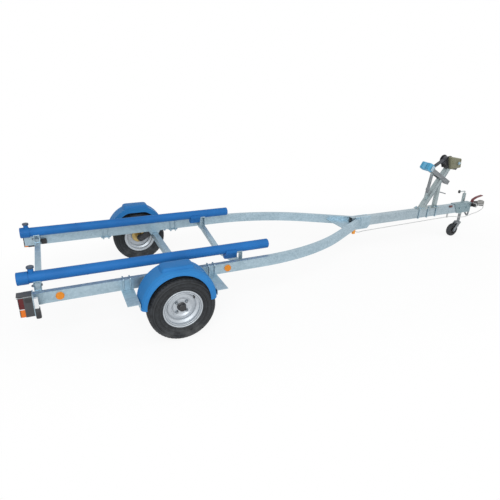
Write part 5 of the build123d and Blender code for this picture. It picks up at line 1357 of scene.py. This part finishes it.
add_piece("coupling_bolts", sleeve_bolts(), "galvanised", finish="sleeve_zinc")
add_piece("neck_gaiter", neck_gaiter(), "black_plastic", sharp=60.0)
add_piece("jockey_fork_scraper", fork_scraper(), "grey_steel", "jockey_swivel")
small_tyre = add_piece("jockey_solid_tyre", jockey_tyre(), "wheel_rubber", "jockey_wheel", sharp=50.0)
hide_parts("jockey_tyre")
add_piece("jockey_axle_ends", jockey_axle_ends(), "axle_steel", "jockey_swivel")
grip = add_piece("crank_grip", crank_knob(), "black_plastic")
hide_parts("jockey_crank_knob")
add_piece("jockey_clamp_screw", clamp_screw(), "black_steel")


# Floor, lamps and world, in metres

FLOOR_HALF = 40.0
SHADOW_SQUEEZE = (0.3, 0.62, 0.0)
WORLD_LIGHT = 0.55
WHITE = (1.0, 1.0, 1.0)

# Studio lamps: place, what it faces, side, power in watts
LAMPS = {
    "key": ((-3.5, -6.0, 4.8), (0.0, 0.0, 0.3), 5.0, 375.0),
    "fill": ((5.0, -3.0, 4.5), (0.5, 0.0, 0.4), 4.0, 120.0),
}


def seen_or_reflected(tree):
    """One where the camera, a reflection or glass looks at a surface, nothing where light falls on it."""
    path = add_node(tree, "ShaderNodeLightPath").outputs
    through = number(tree, "MAXIMUM", path["Is Glossy Ray"], path["Is Transmission Ray"])
    return number(tree, "MAXIMUM", path["Is Camera Ray"], through)


def floor_finish():
    """A pale floor: even white to the camera and to reflections, with some of its own shade kept for
    shadows under and near the trailer, fading out over an ellipse round it."""
    material, tree, shader = new_finish("floor", Roughness=0.9, Specular_IOR_Level=0.1)
    place = object_place(tree)
    link(tree, shader, Base_Color=blended(tree, noise(tree, place, 3.0, 4.0), (0.86,) * 3, (0.9,) * 3))
    reach = vector_length(tree, vector(tree, "MULTIPLY", place, SHADOW_SQUEEZE))
    white_share = spread(tree, reach, 0.88, 1.0, start=0.75, end=1.15)
    amount = number(tree, "MULTIPLY", seen_or_reflected(tree), white_share)
    white = add_node(tree, "ShaderNodeEmission", {"Color": shade(WHITE), "Strength": 1.0}).outputs[0]
    mix = add_node(tree, "ShaderNodeMixShader", {0: amount, 1: shader.outputs[0], 2: white})
    tree.links.new(mix.outputs[0], tree.nodes["Material Output"].inputs["Surface"])
    return material


def add_floor():
    """The floor: a flat square at the height of the wheels' lowest point."""
    reach = np.linspace(-FLOOR_HALF, FLOOR_HALF, 9)
    x, y = np.meshgrid(reach, reach, indexing="ij")
    points, faces = grid(np.stack([x, y, np.zeros_like(x)], axis=-1))
    mesh = bpy.data.meshes.new("floor")
    mesh.from_pydata(points.tolist(), [], faces.tolist())
    mesh.materials.append(floor_finish())
    floor = bpy.data.objects.new("floor", mesh)
    bpy.context.scene.collection.objects.link(floor)


def add_lamp(name, place, aim, size, power):
    """A soft square lamp that faces a point."""
    light = bpy.data.lights.new(name, "AREA")
    light.size = size
    light.energy = power
    lamp = bpy.data.objects.new(name, light)
    back = unit(np.subtract(place, aim))
    lamp.matrix_world = stood(*across(back), back, place)
    bpy.context.scene.collection.objects.link(lamp)


def set_world():
    """Even studio light, and plain white where the camera, reflections and glass look past the trailer."""
    world = bpy.data.worlds.new("studio")
    bpy.context.scene.world = world
    world.use_nodes = True
    tree = world.node_tree
    background = tree.nodes["Background"]
    background.inputs["Color"].default_value = shade(WHITE)
    strength = spread(tree, seen_or_reflected(tree), WORLD_LIGHT, 1.0)
    tree.links.new(strength, background.inputs["Strength"])


add_floor()
for lamp_name, lamp_row in LAMPS.items():
    add_lamp(lamp_name, *lamp_row)
set_world()
bpy.context.scene.view_settings.view_transform = "Standard"
